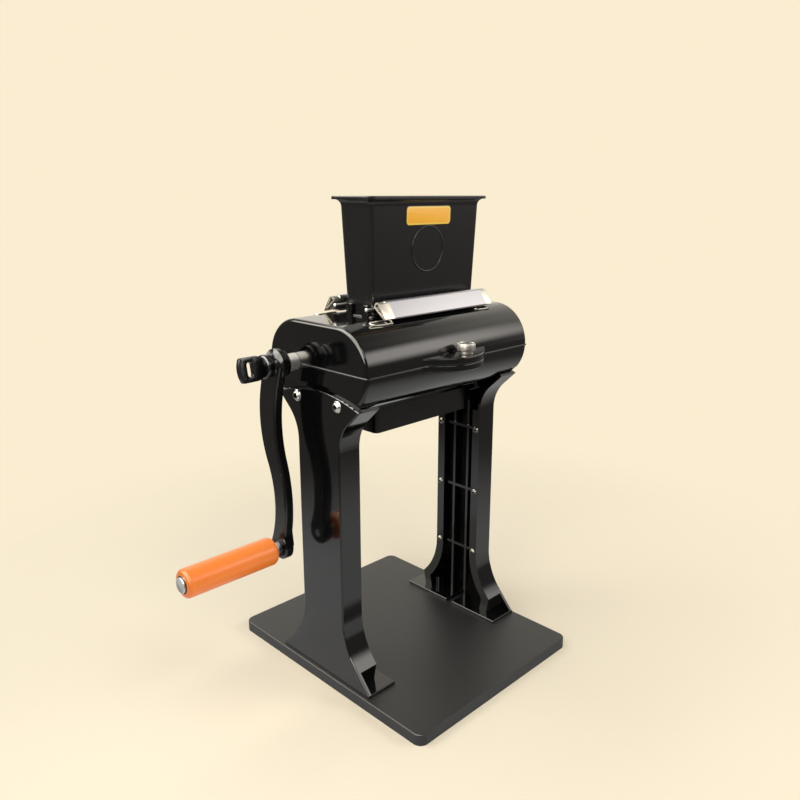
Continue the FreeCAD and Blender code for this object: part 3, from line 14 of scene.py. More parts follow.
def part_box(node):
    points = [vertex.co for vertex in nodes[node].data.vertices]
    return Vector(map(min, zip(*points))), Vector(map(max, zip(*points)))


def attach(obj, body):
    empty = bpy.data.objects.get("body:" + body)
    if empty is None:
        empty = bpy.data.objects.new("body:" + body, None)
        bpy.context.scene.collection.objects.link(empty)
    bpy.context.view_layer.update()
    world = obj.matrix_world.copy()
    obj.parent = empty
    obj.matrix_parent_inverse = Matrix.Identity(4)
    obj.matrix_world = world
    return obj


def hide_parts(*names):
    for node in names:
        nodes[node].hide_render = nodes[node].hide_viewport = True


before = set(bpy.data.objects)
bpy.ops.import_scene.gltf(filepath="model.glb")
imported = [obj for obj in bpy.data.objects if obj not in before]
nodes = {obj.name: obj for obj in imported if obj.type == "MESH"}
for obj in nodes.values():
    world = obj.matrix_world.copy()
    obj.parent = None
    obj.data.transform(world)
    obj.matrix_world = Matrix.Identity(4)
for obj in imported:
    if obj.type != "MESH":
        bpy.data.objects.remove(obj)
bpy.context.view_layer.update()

# %% [markdown]
# ## Colours and nodes
# Colours are written as the sRGB hex values that a paint chart gives, and Blender's sockets want
# linear light, so one function converts them. One more function adds a node, sets its values and
# joins its inputs, which keeps each material to a few readable lines.

# %% Two helpers for every material
def linear(hex_colour):
    """A #rrggbb colour as linear RGBA."""
    parts = [int(hex_colour[i:i + 2], 16) / 255 for i in (1, 3, 5)]
    return [c / 12.92 if c <= 0.04045 else ((c + 0.055) / 1.055) ** 2.4 for c in parts] + [1.0]


def add(tree, kind, settings=None, links=None):
    """Adds a node. Settings name its inputs or its own options; links join an input to an output."""
    node = tree.nodes.new("ShaderNode" + kind)
    for name, value in (settings or {}).items():
        if isinstance(name, int) or name in node.inputs:
            node.inputs[name].default_value = value
        else:
            setattr(node, name, value)
    for name, output in (links or {}).items():
        tree.links.new(output, node.inputs[name])
    return node


def finish_of(name, **shader):
    """A new material with one Principled shader, and Object coordinates ready to use."""
    material = bpy.data.materials.new(name)
    material.use_nodes = True
    tree = material.node_tree
    surface = tree.nodes["Principled BSDF"]
    for socket, value in shader.items():
        surface.inputs[socket.replace("_", " ")].default_value = value
    where = add(tree, "TexCoord").outputs["Object"]
    return material, tree, surface, where


print("linear mid grey", [round(c, 3) for c in linear("#808080")])

# %% [markdown]
# ## Camera
# A standing viewer looks at the machine from its front left corner, a little from above. A lens of
# 34 mm on a 36 mm sensor gives the mild perspective of a camera about a metre away.

# %% Place the camera
LENS_MM, SENSOR_MM = 34.257, 36
LOOKS_DOWN, LOOKS_RIGHT = 15.22, 44.67

camera_data = bpy.data.cameras.new("viewer")
camera_data.lens = LENS_MM
camera_data.sensor_width = SENSOR_MM
camera = bpy.data.objects.new("viewer", camera_data)
camera.location = (-0.53555, -0.53714, 0.48264)
camera.rotation_euler = (math.radians(90 - LOOKS_DOWN), 0, math.radians(-LOOKS_RIGHT))
bpy.context.scene.collection.objects.link(camera)
bpy.context.scene.camera = camera
bpy.context.scene.view_settings.view_transform = "Standard"
print("camera at", tuple(round(v, 3) for v in camera.location))

# %% [markdown]
# ## Background
# The background is one plain cream. The camera sees it everywhere. Gloss black mirrors all that
# stands round it, so reflections see it as a studio has it: a bright cream wall behind the machine
# and to its right, a white softbox high on its left, and dim room on the other sides. The softbox
# draws the white line round each casting's rounded end. The light that the world gives is neutral.

# %% Cream background, with a wall and a softbox for reflections
CREAM = linear("#faedd1")
WALL = linear("#fdf6e8")
ROOM = (0.93, 0.95, 1.0, 1.0)
ROOM_LIGHT, MIRRORED_DIM, MIRRORED_WALL, MIRRORED_SOFTBOX = 0.38, 0.22, 1.35, 8.0

world = bpy.data.worlds.new("cream_backdrop")
world.use_nodes = True
bpy.context.scene.world = world
tree = world.node_tree
tree.nodes.clear()
path = add(tree, "LightPath")
mirrored = add(tree, "Math", {"operation": "MAXIMUM"},
               {0: path.outputs["Is Glossy Ray"], 1: path.outputs["Is Transmission Ray"]})
gaze = add(tree, "TexCoord").outputs["Generated"]
direction = add(tree, "SeparateXYZ", {}, {"Vector": gaze})


def sector(tree, facing, middle, close, rises, height, falls=None):
    """How far a direction lies in a lit part of the room: 0 outside, 1 inside, with soft edges.
    Close holds the cosines at its rim and inside it; rises and falls are heights on the sphere."""
    toward = add(tree, "VectorMath", {"operation": "DOT_PRODUCT", 1: middle}, {0: facing})
    lit = add(tree, "MapRange", {"From Min": close[0], "From Max": close[1],
                                 "interpolation_type": "SMOOTHSTEP"},
              {"Value": toward.outputs["Value"]})
    for low, high in [rises] + ([falls] if falls else []):
        edge = add(tree, "MapRange", {"From Min": low, "From Max": high,
                                      "interpolation_type": "SMOOTHSTEP"}, {"Value": height})
        lit = add(tree, "Math", {"operation": "MULTIPLY"}, {0: lit.outputs[0], 1: edge.outputs[0]})
    return lit.outputs[0]


height = direction.outputs["Z"]
wall = sector(tree, gaze, (0.89, 0.45, 0.0), (0.35, 0.62), (-0.06, 0.02), height, (0.78, 0.6))
softbox = sector(tree, gaze, (-0.826, 0.146, 0.545), (0.62, 0.72), (0.16, 0.28), height)
strength = add(tree, "MapRange", {"To Min": MIRRORED_DIM, "To Max": MIRRORED_WALL}, {"Value": wall})
strength = add(tree, "Math", {"operation": "MULTIPLY_ADD", 1: MIRRORED_SOFTBOX},
               {0: softbox, 2: strength.outputs[0]})
room = add(tree, "Background", {"Color": ROOM, "Strength": ROOM_LIGHT})
studio = add(tree, "Background", {"Color": WALL}, {"Strength": strength.outputs[0]})
plain = add(tree, "Background", {"Color": CREAM, "Strength": 1.0})
lit = add(tree, "MixShader", {}, {0: mirrored.outputs[0], 1: room.outputs[0],
                                  2: studio.outputs[0]})
seen = add(tree, "MixShader", {}, {0: path.outputs["Is Camera Ray"], 1: lit.outputs[0],
                                   2: plain.outputs[0]})
add(tree, "OutputWorld", {}, {"Surface": seen.outputs[0]})
print("background", world.name)

# %% [markdown]
# ## Floor
# The machine stands on a pale cream floor. It is a wide disc whose rim fades to clear, so no horizon
# line shows, and only its lit middle is mirrored in the legs. There the floor is painted a near-white
# grey instead of cream, a painted reflection.

# %% Floor disc
FLOOR_RADIUS = 2.0
FADE_STARTS, FADE_ENDS = 0.3, 0.75

floor_mesh = bmesh.new()
bmesh.ops.create_circle(floor_mesh, cap_ends=True, segments=96, radius=FLOOR_RADIUS)
floor_data = bpy.data.meshes.new("floor")
floor_mesh.to_mesh(floor_data)
floor_mesh.free()
floor = bpy.data.objects.new("floor", floor_data)
bpy.context.scene.collection.objects.link(floor)

# matt paper: one even cream without any gloss; reflections see it painted a whiter grey, a painted
# reflection
material, tree, surface, where = finish_of("cream_paper_floor", Roughness=1.0)
surface.inputs["Specular IOR Level"].default_value = 0
paper_with_painted_reflection = add(tree, "Mix", {"data_type": "RGBA", 6: CREAM, 7: linear("#f2f1ee")},
            {0: add(tree, "LightPath").outputs["Is Glossy Ray"]})
tree.links.new(paper_with_painted_reflection.outputs[2], surface.inputs["Base Color"])
reach = add(tree, "VectorMath", {"operation": "LENGTH"}, {0: where})
fade = add(tree, "MapRange", {"From Min": FADE_STARTS, "From Max": FADE_ENDS,
                              "interpolation_type": "SMOOTHSTEP"}, {"Value": reach.outputs["Value"]})
clear = add(tree, "BsdfTransparent")
edge = add(tree, "MixShader", {}, {0: fade.outputs[0], 1: surface.outputs[0],
                                   2: clear.outputs[0]})
tree.links.new(edge.outputs[0], tree.nodes["Material Output"].inputs["Surface"])
floor_data.materials.append(material)
print("floor disc of radius", FLOOR_RADIUS, "m, faded from", FADE_STARTS, "to", FADE_ENDS, "m out")

# %% [markdown]
# ## Lamps
# Gloss black shows only what it mirrors, so each lamp is a soft panel. The key panel stands to the
# front right, a little above the hood, and draws the long band along the hood's rolled front. A
# softbox glows most in its middle, so the panel's own light fades towards its edges: an even lamp
# would leave a band with hard edges. A panel high at the back draws the thin lines on upper edges.
# Weaker panels overhead, in front and on the left fill in, so that colours show about as they are.

# %% Soft panels
def panel(name, place, aim, width, height, watts, colour=(1, 1, 1), fade=None):
    """A soft rectangular lamp that faces a point. Fade holds where its light starts and stops
    to grow on the left, right, bottom and top edges, as shares of its size."""
    data = bpy.data.lights.new(name, "AREA")
    data.shape = "RECTANGLE"
    data.size, data.size_y = width, height
    data.energy = watts
    data.color = colour
    lamp = bpy.data.objects.new(name, data)
    lamp.location = place
    lamp.rotation_euler = (Vector(aim) - Vector(place)).to_track_quat("-Z", "Y").to_euler()
    bpy.context.scene.collection.objects.link(lamp)
    if fade:
        data.use_nodes = True
        tree = data.node_tree
        over = add(tree, "SeparateXYZ", {}, {0: add(tree, "NewGeometry").outputs["Parametric"]})
        glow = None
        for axis, (low, high) in zip(("X", "X", "Y", "Y"), fade):
            ramp = add(tree, "MapRange", {"From Min": low, "From Max": high,
                                          "interpolation_type": "SMOOTHSTEP"},
                       {"Value": over.outputs[axis]})
            if glow:
                ramp = add(tree, "Math", {"operation": "MULTIPLY"},
                           {0: glow.outputs[0], 1: ramp.outputs[0]})
            glow = ramp
        tree.links.new(glow.outputs[0], tree.nodes["Emission"].inputs["Strength"])
    return lamp


def around(azimuth, elevation, distance, centre=(0.0, 0.0, 0.33)):
    """A point round the machine: 0 degrees is its front, 90 its right."""
    a, e = math.radians(azimuth), math.radians(elevation)
    step = Vector((math.sin(a) * math.cos(e), -math.cos(a) * math.cos(e), math.sin(e)))
    return Vector(centre) + distance * step


panel("key_panel", around(44, 23, 1.5), (0, 0, 0.33), 1.25, 0.95, 16.5, (1.0, 0.95, 0.89),
      fade=((0.0, 0.1), (1.0, 0.55), (0.0, 0.42), (1.0, 0.62)))
panel("back_panel", (-0.1, 0.95, 1.6), (0, 0, 0.3), 1.2, 0.7, 5)
panel("over_panel", (-0.5, -0.15, 1.75), (-0.1, 0, 0.3), 1.1, 1.0, 7,
      fade=((0.0, 0.15), (1.0, 0.85), (0.0, 0.15), (1.0, 0.85)))
panel("rear_left_panel", around(-125, 42, 1.6), (0, 0, 0.35), 0.8, 0.7, 6)
panel("left_panel", around(-75, 25, 1.5), (0, 0, 0.3), 0.7, 0.7, 3)
panel("front_panel", around(-12, 42, 1.6), (0, 0, 0.3), 0.7, 0.7, 6)

# %% [markdown]
# ## Gloss black enamel
# The hood, the housing and the legs are die castings under black stoving enamel. It is sprayed and
# baked, which leaves a deep gloss with a faint orange peel a few millimetres across. A near-black
# base with a low roughness gives the shine, and a low, wide bump gives the peel.

# %% Enamel for the castings
def orange_peel(tree, where, wave_mm, height_mm):
    """A bump of soft waves so many millimetres across."""
    waves = add(tree, "TexNoise", {"Scale": 1000 / wave_mm, "Detail": 2.0, "Roughness": 0.4},
                {"Vector": where})
    return add(tree, "Bump", {"Distance": height_mm / 1000},
               {"Height": waves.outputs["Fac"]}).outputs["Normal"]


def enamel(name, colour, roughness, wave_mm, height_mm):
    """Stoved enamel: a near-black coat with the peel of a spray gun and a patchy haze, whose
    clouds are about 55 mm across."""
    material, tree, surface, where = finish_of(name, Base_Color=linear(colour), IOR=1.5)
    tree.links.new(orange_peel(tree, where, wave_mm, height_mm), surface.inputs["Normal"])
    cloud = add(tree, "TexNoise", {"Scale": 18.0, "Detail": 4.0}, {"Vector": where})
    haze = add(tree, "MapRange", {"To Min": roughness * 0.6, "To Max": roughness * 1.4},
               {"Value": cloud.outputs["Fac"]})
    tree.links.new(haze.outputs[0], surface.inputs["Roughness"])
    return material


def dress(material, *names):
    """Gives carried-over sub-parts their finish."""
    for name in names:
        data = nodes[name].data
        data.materials.clear()
        data.materials.append(material)


body_enamel = enamel("black_stoving_enamel", "#0a0a0b", 0.09, 4.0, 0.008)
leg_enamel = enamel("black_leg_enamel", "#0a0a0b", 0.10, 5.0, 0.010)
chute_paint = enamel("satin_black_enamel", "#0b0b0c", 0.22, 3.0, 0.01)
arm_paint = enamel("black_enamel_on_iron", "#0b0b0c", 0.16, 3.5, 0.02)
dress(body_enamel, "upper_hood", "lower_housing")
dress(leg_enamel, "left_leg", "right_leg")
dress(chute_paint, "outlet_chute")
dress(arm_paint, "crank_arm")
print("enamels:", body_enamel.name, leg_enamel.name, chute_paint.name, arm_paint.name)

# %% [markdown]
# ## Moulded plastics
# The hopper is injection-moulded ABS from a finely spark-eroded mould, so it is a shade duller than
# the enamel. Its real grain of about half a millimetre is drawn at 0.9 mm, so that it shows. The
# grip is moulded orange polypropylene, which is waxy: a little light goes in and comes out again.

# %% Hopper and grip plastics
material, tree, surface, where = finish_of("moulded_black_abs", Base_Color=linear("#131314"),
                                           Roughness=0.24, IOR=1.53)
tree.links.new(orange_peel(tree, where, 0.9, 0.012), surface.inputs["Normal"])
hopper_abs = material
dress(hopper_abs, "hopper")

material, tree, surface, where = finish_of("moulded_orange_polypropylene",
                                           Base_Color=linear("#ff8a38"), Roughness=0.3, IOR=1.49,
                                           Subsurface_Weight=0.2, Subsurface_Scale=0.004)
surface.inputs["Subsurface Radius"].default_value = (1.0, 0.3, 0.1)
tree.links.new(orange_peel(tree, where, 1.2, 0.02), surface.inputs["Normal"])
dress(material, "grip")
print("plastics:", hopper_abs.name, material.name)

# %% [markdown]
# ## Label film
# The label is amber polyester film, printed on its back and die-cut. The eye sees an amber field with
# faint clouds of ink, a lighter margin, and a dark band along its edge. The bands could be faces of
# their own.
# Here they are measured from a rounded box round the label's middle, which needs no extra mesh.

# %% Amber film
CORNER = 0.0040
MARGIN_STARTS, EDGE_STARTS = 0.0016, 0.0034

# a colour Mix node takes its factor on socket 0, its colours on 6 and 7, and gives them on 2
material, tree, surface, where = finish_of("amber_film", Roughness=0.35, IOR=1.5)
low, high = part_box("hopper_label")
middle = [(low[i] + high[i]) / 2 for i in range(3)]
near = add(tree, "VectorMath", {"operation": "SUBTRACT", 1: middle}, {0: where})
near = add(tree, "VectorMath", {"operation": "ABSOLUTE"}, {0: near.outputs[0]})
# the middle number only has to be larger than the film is thick
inner = ((high[0] - low[0]) / 2 - CORNER, 1.0, (high[2] - low[2]) / 2 - CORNER)
near = add(tree, "VectorMath", {"operation": "SUBTRACT", 1: inner}, {0: near.outputs[0]})
near = add(tree, "VectorMath", {"operation": "MAXIMUM", 1: (0, 0, 0)}, {0: near.outputs[0]})
reach = add(tree, "VectorMath", {"operation": "LENGTH"}, {0: near.outputs[0]})
ink = add(tree, "TexNoise", {"Scale": 1000 / 6.0, "Detail": 3.0}, {"Vector": where})
film = add(tree, "Mix", {"data_type": "RGBA", 6: linear("#ffb22c"), 7: linear("#ffc03e")},
           {0: ink.outputs["Fac"]})
# from the middle outwards: amber, a lighter margin 1.8 mm wide, and a dark band at the very edge
for start, colour in ((MARGIN_STARTS, "#ffd25a"), (EDGE_STARTS, "#2c1606")):
    past = add(tree, "Math", {"operation": "GREATER_THAN", 1: start}, {0: reach.outputs["Value"]})
    film = add(tree, "Mix", {"data_type": "RGBA", 7: linear(colour)},
               {0: past.outputs[0], 6: film.outputs[2]})
tree.links.new(film.outputs[2], surface.inputs["Base Color"])
tree.links.new(orange_peel(tree, where, 2.5, 0.01), surface.inputs["Normal"])
label_film = material
dress(label_film, "hopper_label")
print("label:", label_film.name)

# %% [markdown]
# ## Board laminate
# The base board is faced with a pressed charcoal laminate. The press leaves a fine pebble of about a
# millimetre, which turns a sheen into a soft grey haze instead of a mirror.

# %% Charcoal laminate
material, tree, surface, where = finish_of("charcoal_board_laminate", Base_Color=linear("#161616"),
                                           Roughness=0.45, IOR=1.5)
tree.links.new(orange_peel(tree, where, 1.2, 0.03), surface.inputs["Normal"])
dress(material, "base_board")
print("board:", material.name)

# %% [markdown]
# ## Metals
# Every metal part differs only in its colour, its gloss and the marks that its making left, so one
# function makes them all. Strip steel is polished along its length and keeps long, fine lines, and
# the turned sleeve keeps lines of the same kind. Plated and tumbled parts have an even, short grain.
# Zinc plate is near white, nickel a little warmer, blackened steel nearly as dark as the enamel.

# %% Bare and plated metals
def metal(name, colour, roughness, grain_mm=(0.4, 0.4, 0.4), depth_mm=0.003):
    """Bare or plated metal with tool marks of the given sizes along X, Y and Z."""
    material, tree, surface, where = finish_of(name, Base_Color=linear(colour), Metallic=1.0,
                                               Roughness=roughness)
    stretch = add(tree, "Mapping", {"Scale": [1000 / g for g in grain_mm]}, {"Vector": where})
    marks = add(tree, "TexNoise", {"Scale": 1.0, "Detail": 3.0}, {"Vector": stretch.outputs[0]})
    bump = add(tree, "Bump", {"Strength": 0.5, "Distance": depth_mm / 1000},
               {"Height": marks.outputs["Fac"]})
    tree.links.new(bump.outputs["Normal"], surface.inputs["Normal"])
    return material


strip_steel = metal("polished_stainless_strip", "#bcbcc2", 0.3, (60, 0.3, 0.3))
nickel = metal("nickel_plate", "#ccc7ba", 0.38, (0.6, 0.6, 0.6))
bright_zinc = metal("bright_zinc_plate", "#cfcecb", 0.3)
turned_zinc = metal("turned_zinc_plate", "#f0eeea", 0.4, (40, 0.5, 0.5), 0.01)
cast_zinc = metal("tumbled_zinc_casting", "#a9a6a2", 0.42, (0.8, 0.8, 0.8), 0.006)
darker_zinc = metal("darker_zinc_plate", "#7c7a74", 0.34)
dark_screw = metal("blackened_steel", "#4c4c4e", 0.2, (0.8, 0.8, 0.8), 0.006)
blade_steel = metal("ground_stainless", "#b9babb", 0.3)
gear_steel = metal("machined_steel", "#a5a5a6", 0.35)
bronze = metal("sintered_bronze", "#a9793f", 0.45)
dress(strip_steel, "front_latch_bar", "rear_latch_bar")
dress(nickel, "front_latch_clips", "rear_latch_clips")
dress(cast_zinc, "front_hood_screw", "rear_hood_screw")
dress(bright_zinc, "foot_bolts", "leg_screws", "chute_screws", "comb_screws",
      "front_latch_rod", "rear_latch_rod", "grip_pin")
dress(darker_zinc, "leg_lip_screws")
dress(turned_zinc, "shaft_sleeve")
dress(dark_screw, "crank_screw", "grip_washer")
dress(blade_steel, "front_comb", "rear_comb", "drive_blades", "driven_blades", "drive_spacers",
      "driven_spacers")
dress(gear_steel, "drive_shaft", "driven_shaft", "drive_gear", "driven_gear", "drive_ring",
      "driven_ring")
dress(bronze, "drive_bushings", "driven_bushings")
print("metals:", strip_steel.name, nickel.name, bright_zinc.name, turned_zinc.name, cast_zinc.name,
      darker_zinc.name, dark_screw.name, blade_steel.name, gear_steel.name, bronze.name)

# %% [markdown]
# ## Tools for the small parts
# The small parts are turned, pressed or rolled. Each starts as a short outline in millimetres, whose
# corners are rounded with a vertex bevel. A turned part is then spun round its axis and a pressed
# part is extruded, which is how the real ones get their shape. Doubles are merged and the normals
# are turned outwards once, at the end, for every part.

# %% Outlines, turning, and the last steps of a part
MM = 0.001


def outline(shape, points, rounded=(), radius=1.0, closed=False, steps=5):
    """A wire through points in mm. The corners whose numbers are in rounded are softened."""
    verts = [shape.verts.new(Vector(p) * MM) for p in points]
    pairs = list(zip(verts, verts[1:] + verts[:1]))[:None if closed else -1]
    for pair in pairs:
        shape.edges.new(pair)
    old = set(shape.verts) - set(verts)
    if rounded:
        bmesh.ops.bevel(shape, geom=[verts[i] for i in rounded], affect="VERTICES", segments=steps,
                        offset=radius * MM, profile=0.5, material=-1)
    new = [v for v in shape.verts if v not in old]
    return new, list({e for v in new for e in v.link_edges})


def turned(shape, centre, axis, side, points, rounded=(), radius=0.4, steps=64, closed=False):
    """A lathe part: points are (along, out) in mm from the centre."""
    axis, side = Vector(axis), Vector(side)
    places = [Vector(centre) + axis * along + side * out for along, out in points]
    verts, edges = outline(shape, places, rounded, radius, closed)
    bmesh.ops.spin(shape, geom=verts + edges, cent=Vector(centre) * MM, axis=axis, steps=steps,
                   angle=math.tau, use_merge=True)


def soften(shape, width, degrees=35, steps=3, edges=None):
    """Rounds every edge, or every one of the given edges, that is sharper than so many degrees."""
    sharp = [e for e in (edges or shape.edges) if len(e.link_faces) == 2
             and e.calc_face_angle(0) > math.radians(degrees)]
    bmesh.ops.bevel(shape, geom=sharp, affect="EDGES", offset=width * MM, segments=steps,
                    profile=0.5, material=-1, clamp_overlap=True)


def grow(shape, faces, rise=(0, 0, 0), scale=None):
    """Extrudes a patch of faces, moves it by so many mm and scales it. Returns the moved faces."""
    patch = list(faces) + list({e for f in faces for e in f.edges})
    patch += list({v for f in faces for v in f.verts})
    made = bmesh.ops.extrude_face_region(shape, geom=patch)["geom"]
    verts = verts_of(made)
    bmesh.ops.translate(shape, verts=verts, vec=Vector(rise) * MM)
    if scale:
        bmesh.ops.scale(shape, verts=verts, vec=scale)
    return [g for g in made if isinstance(g, bmesh.types.BMFace)]


def join(shape, other):
    """Adds a small finished shape to a larger one, and frees it."""
    data = bpy.data.meshes.new("joined")
    other.to_mesh(data)
    other.free()
    shape.from_mesh(data)
    bpy.data.meshes.remove(data)


def verts_of(made):
    """The vertices among what an operator made."""
    return [g for g in made if isinstance(g, bmesh.types.BMVert)]


def part(name, shape, material, body, stands_for=(), sharp=40):
    """Merges, turns outwards and dresses a shape, and lets it ride on a CAD body."""
    bmesh.ops.remove_doubles(shape, verts=shape.verts, dist=1e-6)
    bmesh.ops.recalc_face_normals(shape, faces=shape.faces)
    loose = sum(not e.is_manifold for e in shape.edges)
    data = bpy.data.meshes.new(name)
    shape.to_mesh(data)
    shape.free()
    data.shade_smooth()
    data.set_sharp_from_angle(angle=math.radians(sharp))
    data.materials.append(material)
    piece = bpy.data.objects.new(name, data)
    bpy.context.scene.collection.objects.link(piece)
    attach(piece, body)
    if stands_for:
        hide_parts(*stands_for)
    print(name, len(data.polygons), "faces,", loose, "open edges")


print("outlines are written in mm; one is", MM, "m")

# %% [markdown]
# ## Bead along the parting line
# The hood meets the lower housing at mid height. The lower casting has a low half-round bead round
# its mouth, which hides the joint and catches the light as one thin line. It could be modelled as a
# profile swept on a curve, but a frame cut from one face and rounded on its outer edges is simpler.

# %% Parting bead
SEAM_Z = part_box("lower_housing")[1][2] / MM
HALF_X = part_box("upper_hood")[1][0] / MM
HALF_Y = 70.0
BEAD_PROUD, BEAD_BELOW, BEAD_DEEP, BEAD_TALL = 0.9, 1.9, 2.4, 1.8
# the corners of a rectangle, in order round it
ROUND = ((-1, -1), (1, -1), (1, 1), (-1, 1))

bead = bmesh.new()
corners = [(sx * (HALF_X + BEAD_PROUD), sy * (HALF_Y + BEAD_PROUD), SEAM_Z - BEAD_BELOW)
           for sx, sy in ROUND]
_, edges = outline(bead, corners, range(4), 3.9, closed=True)
face = bmesh.ops.contextual_create(bead, geom=edges)["faces"]
bmesh.ops.inset_region(bead, faces=face, thickness=BEAD_DEEP * MM, use_even_offset=True,
                       use_boundary=True)
bmesh.ops.delete(bead, geom=face, context="FACES_ONLY")
band = bmesh.ops.extrude_face_region(bead, geom=list(bead.faces))["geom"]
bmesh.ops.translate(bead, verts=verts_of(band), vec=(0, 0, BEAD_TALL * MM))
bmesh.ops.recalc_face_normals(bead, faces=bead.faces)
# only the two outer rims are rounded; the inner ones are out of sight in the joint
rim = [e for e in bead.edges if abs(e.calc_face_angle(0) - math.pi / 2) < 0.1
       and max(abs(e.verts[0].co.x) - HALF_X * MM, abs(e.verts[0].co.y) - HALF_Y * MM) > 0.1 * MM]
soften(bead, 0.85, 60, 5, rim)
part("parting_bead", bead, body_enamel, "frame")

# %% [markdown]
# ## Screws in the legs' heads
# Each leg is held to the housing by two button-head screws in bright zinc. A button head has a flat
# flange, a low dome and a hexagon socket. The dome is turned, and the socket is a six-sided loop
# bridged to it and pushed inwards, so light drops into it as it does in the real one.

# %% Button-head screws
def ends_of(edges):
    """The vertices of a loop of edges."""
    return list({v for e in edges for v in e.verts})


def button_head(shape, place, out, flange=5.5, dome=4.2, height=3.0, across=4.0):
    """A flanged button head with a hexagon socket. Out is the direction that it faces."""
    head = bmesh.new()
    # radius in mm, and share of the height, of each loop from the flange's foot to the socket
    levels = [(flange, 0.0), (flange, 0.18), (flange - 0.3, 0.28), (dome + 0.25, 0.32),
              (dome, 0.42), (dome * 0.96, 0.62), (dome * 0.82, 0.87), (dome * 0.66, 1.0)]
    loops = []
    for size, level in levels:
        made = bmesh.ops.create_circle(head, segments=48, radius=size * MM)["verts"]
        bmesh.ops.translate(head, verts=made, vec=(0, 0, level * height * MM))
        loops.append({e for v in made for e in v.link_edges})
    hexagon = bmesh.ops.create_circle(head, segments=6, radius=across / 1.732 * MM)["verts"]
    bmesh.ops.translate(head, verts=hexagon, vec=(0, 0, height * MM))
    sides = list({e for v in hexagon for e in v.link_edges})
    bmesh.ops.subdivide_edges(head, edges=sides, cuts=7)
    placed = set().union(*loops)
    loops.append({e for e in head.edges if e not in placed})
    for lower, upper in zip(loops, loops[1:]):
        bmesh.ops.bridge_loops(head, edges=list(lower | upper))
    wall = bmesh.ops.extrude_edge_only(head, edges=list(loops[-1]))
    floor_edges = [g for g in wall["geom"] if isinstance(g, bmesh.types.BMEdge)]
    bmesh.ops.translate(head, verts=ends_of(floor_edges), vec=(0, 0, -0.63 * height * MM))
    bmesh.ops.contextual_create(head, geom=floor_edges)
    bmesh.ops.contextual_create(head, geom=list(loops[0]))
    bmesh.ops.recalc_face_normals(head, faces=head.faces)
    turn = Vector((0, 0, 1)).rotation_difference(Vector(out)).to_matrix().to_4x4()
    lift = Matrix.Translation(Vector(place) * MM)
    bmesh.ops.transform(head, verts=head.verts, matrix=lift @ turn)
    join(shape, head)


CAD_HEAD = 4.8
low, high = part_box("leg_screws")
leg_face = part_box("right_leg")[1][0] / MM
screw_y = high[1] / MM - CAD_HEAD
screw_z = (low[2] + high[2]) / 2 / MM
heads = bmesh.new()
for side in (-1, 1):
    for y in (-screw_y, screw_y):
        button_head(heads, (side * leg_face, y, screw_z), (side, 0, 0))
part("leg_button_screws", heads, bright_zinc, "frame", ["leg_screws"])

# %% [markdown]
# ## Screws in the legs' lips
# Six smaller screws of the same kind sit in the lips of each leg, where the moulding's bosses end.
# They are a darker grey than the screws outside, so they show as small grey rings in the dark
# channel. They come from the same function with smaller sizes, and their places are read from the
# CAD's own screws.

# %% Lip screws
LIP_HEAD, LIP_SCREW = 3.6, 8.0
low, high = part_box("leg_lip_screws")
lip_face, lip_y = high[0] / MM - LIP_SCREW, high[1] / MM - LIP_HEAD
lip_levels = [low[2] / MM + LIP_HEAD, (low[2] + high[2]) / 2 / MM, high[2] / MM - LIP_HEAD]
heads = bmesh.new()
for side in (-1, 1):
    for y in (-lip_y, lip_y):
        for z in lip_levels:
            button_head(heads, (side * lip_face, y, z), (-side, 0, 0), flange=LIP_HEAD, dome=3.1,
                        height=1.9, across=2.4)
part("lip_button_screws", heads, darker_zinc, "frame", ["leg_lip_screws"])

# %% [markdown]
# ## Hand screws
# A knurled hand screw on each ear clamps the hood. Its cast zinc head has fine straight ribs and is
# dished on top, above a plain neck. A ring of short and long radii extruded upwards gives the ribs;
# a normal map would not show in the head's outline.

# %% Knurled hand screws
RIBS = 44


def hand_screw(node):
    """A ribbed head on a turned neck, in the place of a CAD hand screw."""
    low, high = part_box(node)
    centre = [(low[i] + high[i]) / 2 / MM for i in (0, 1)]
    top, foot = high[2] / MM, low[2] / MM
    radius = (high[0] - low[0]) / 2 / MM
    shape = bmesh.new()
    ring = bmesh.ops.create_circle(shape, cap_ends=True, segments=RIBS * 4,
                                   radius=radius * MM)["verts"]
    grooves = [v for i, v in enumerate(ring) if i % 4 == 0]
    bmesh.ops.scale(shape, vec=(0.945, 0.945, 1), verts=grooves)
    base = list(shape.faces)
    # a small chamfer, the ribbed side, a small chamfer, then the dished top in three steps
    for rise, scale in ((0.5, 1.035), (6.1, 1.0), (0.5, 0.955), (0.1, 0.84), (-1.1, 0.78),
                        (-0.5, 0.55), (-0.1, 0.25)):
        base = grow(shape, base, (0, 0, rise), (scale, scale, 1))
    bottom = min(shape.faces, key=lambda f: f.calc_center_median().z)
    bmesh.ops.scale(shape, verts=bottom.verts, vec=(0.965, 0.965, 1))
    # the rim is the head's highest part, 7.1 mm above its foot
    bmesh.ops.translate(shape, verts=shape.verts,
                        vec=Vector((centre[0], centre[1], top - 7.1)) * MM)
    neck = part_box("upper_hood")[0][2] / MM + 6.5
    turned(shape, (centre[0], centre[1], 0), (0, 0, 1), (1, 0, 0),
           [(foot, 0), (foot, 3.4), (foot + 0.6, 4.0), (neck, 4.0), (neck, 6.5), (neck + 0.5, 6.7),
            (neck + 0.9, 6.1), (top - 7.0, 6.0), (top - 7.0, 0)])
    return shape


for side in ("front", "rear"):
    node = side + "_hood_screw"
    part(side + "_knurled_screw", hand_screw(node), cast_zinc, node, [node])

# %% [markdown]
# ## Thumb screw on the crank's hub
# A dark thumb screw draws the crank onto the shaft. It is a round collar with a rounded lip, and a
# flat wing with a bowed end and a slot through it. The collar is turned. The wing starts as two
# loops, its outline and the slot, bridged into one face and then given its thickness; a boolean
# would do it too, but leaves worse edges to round.

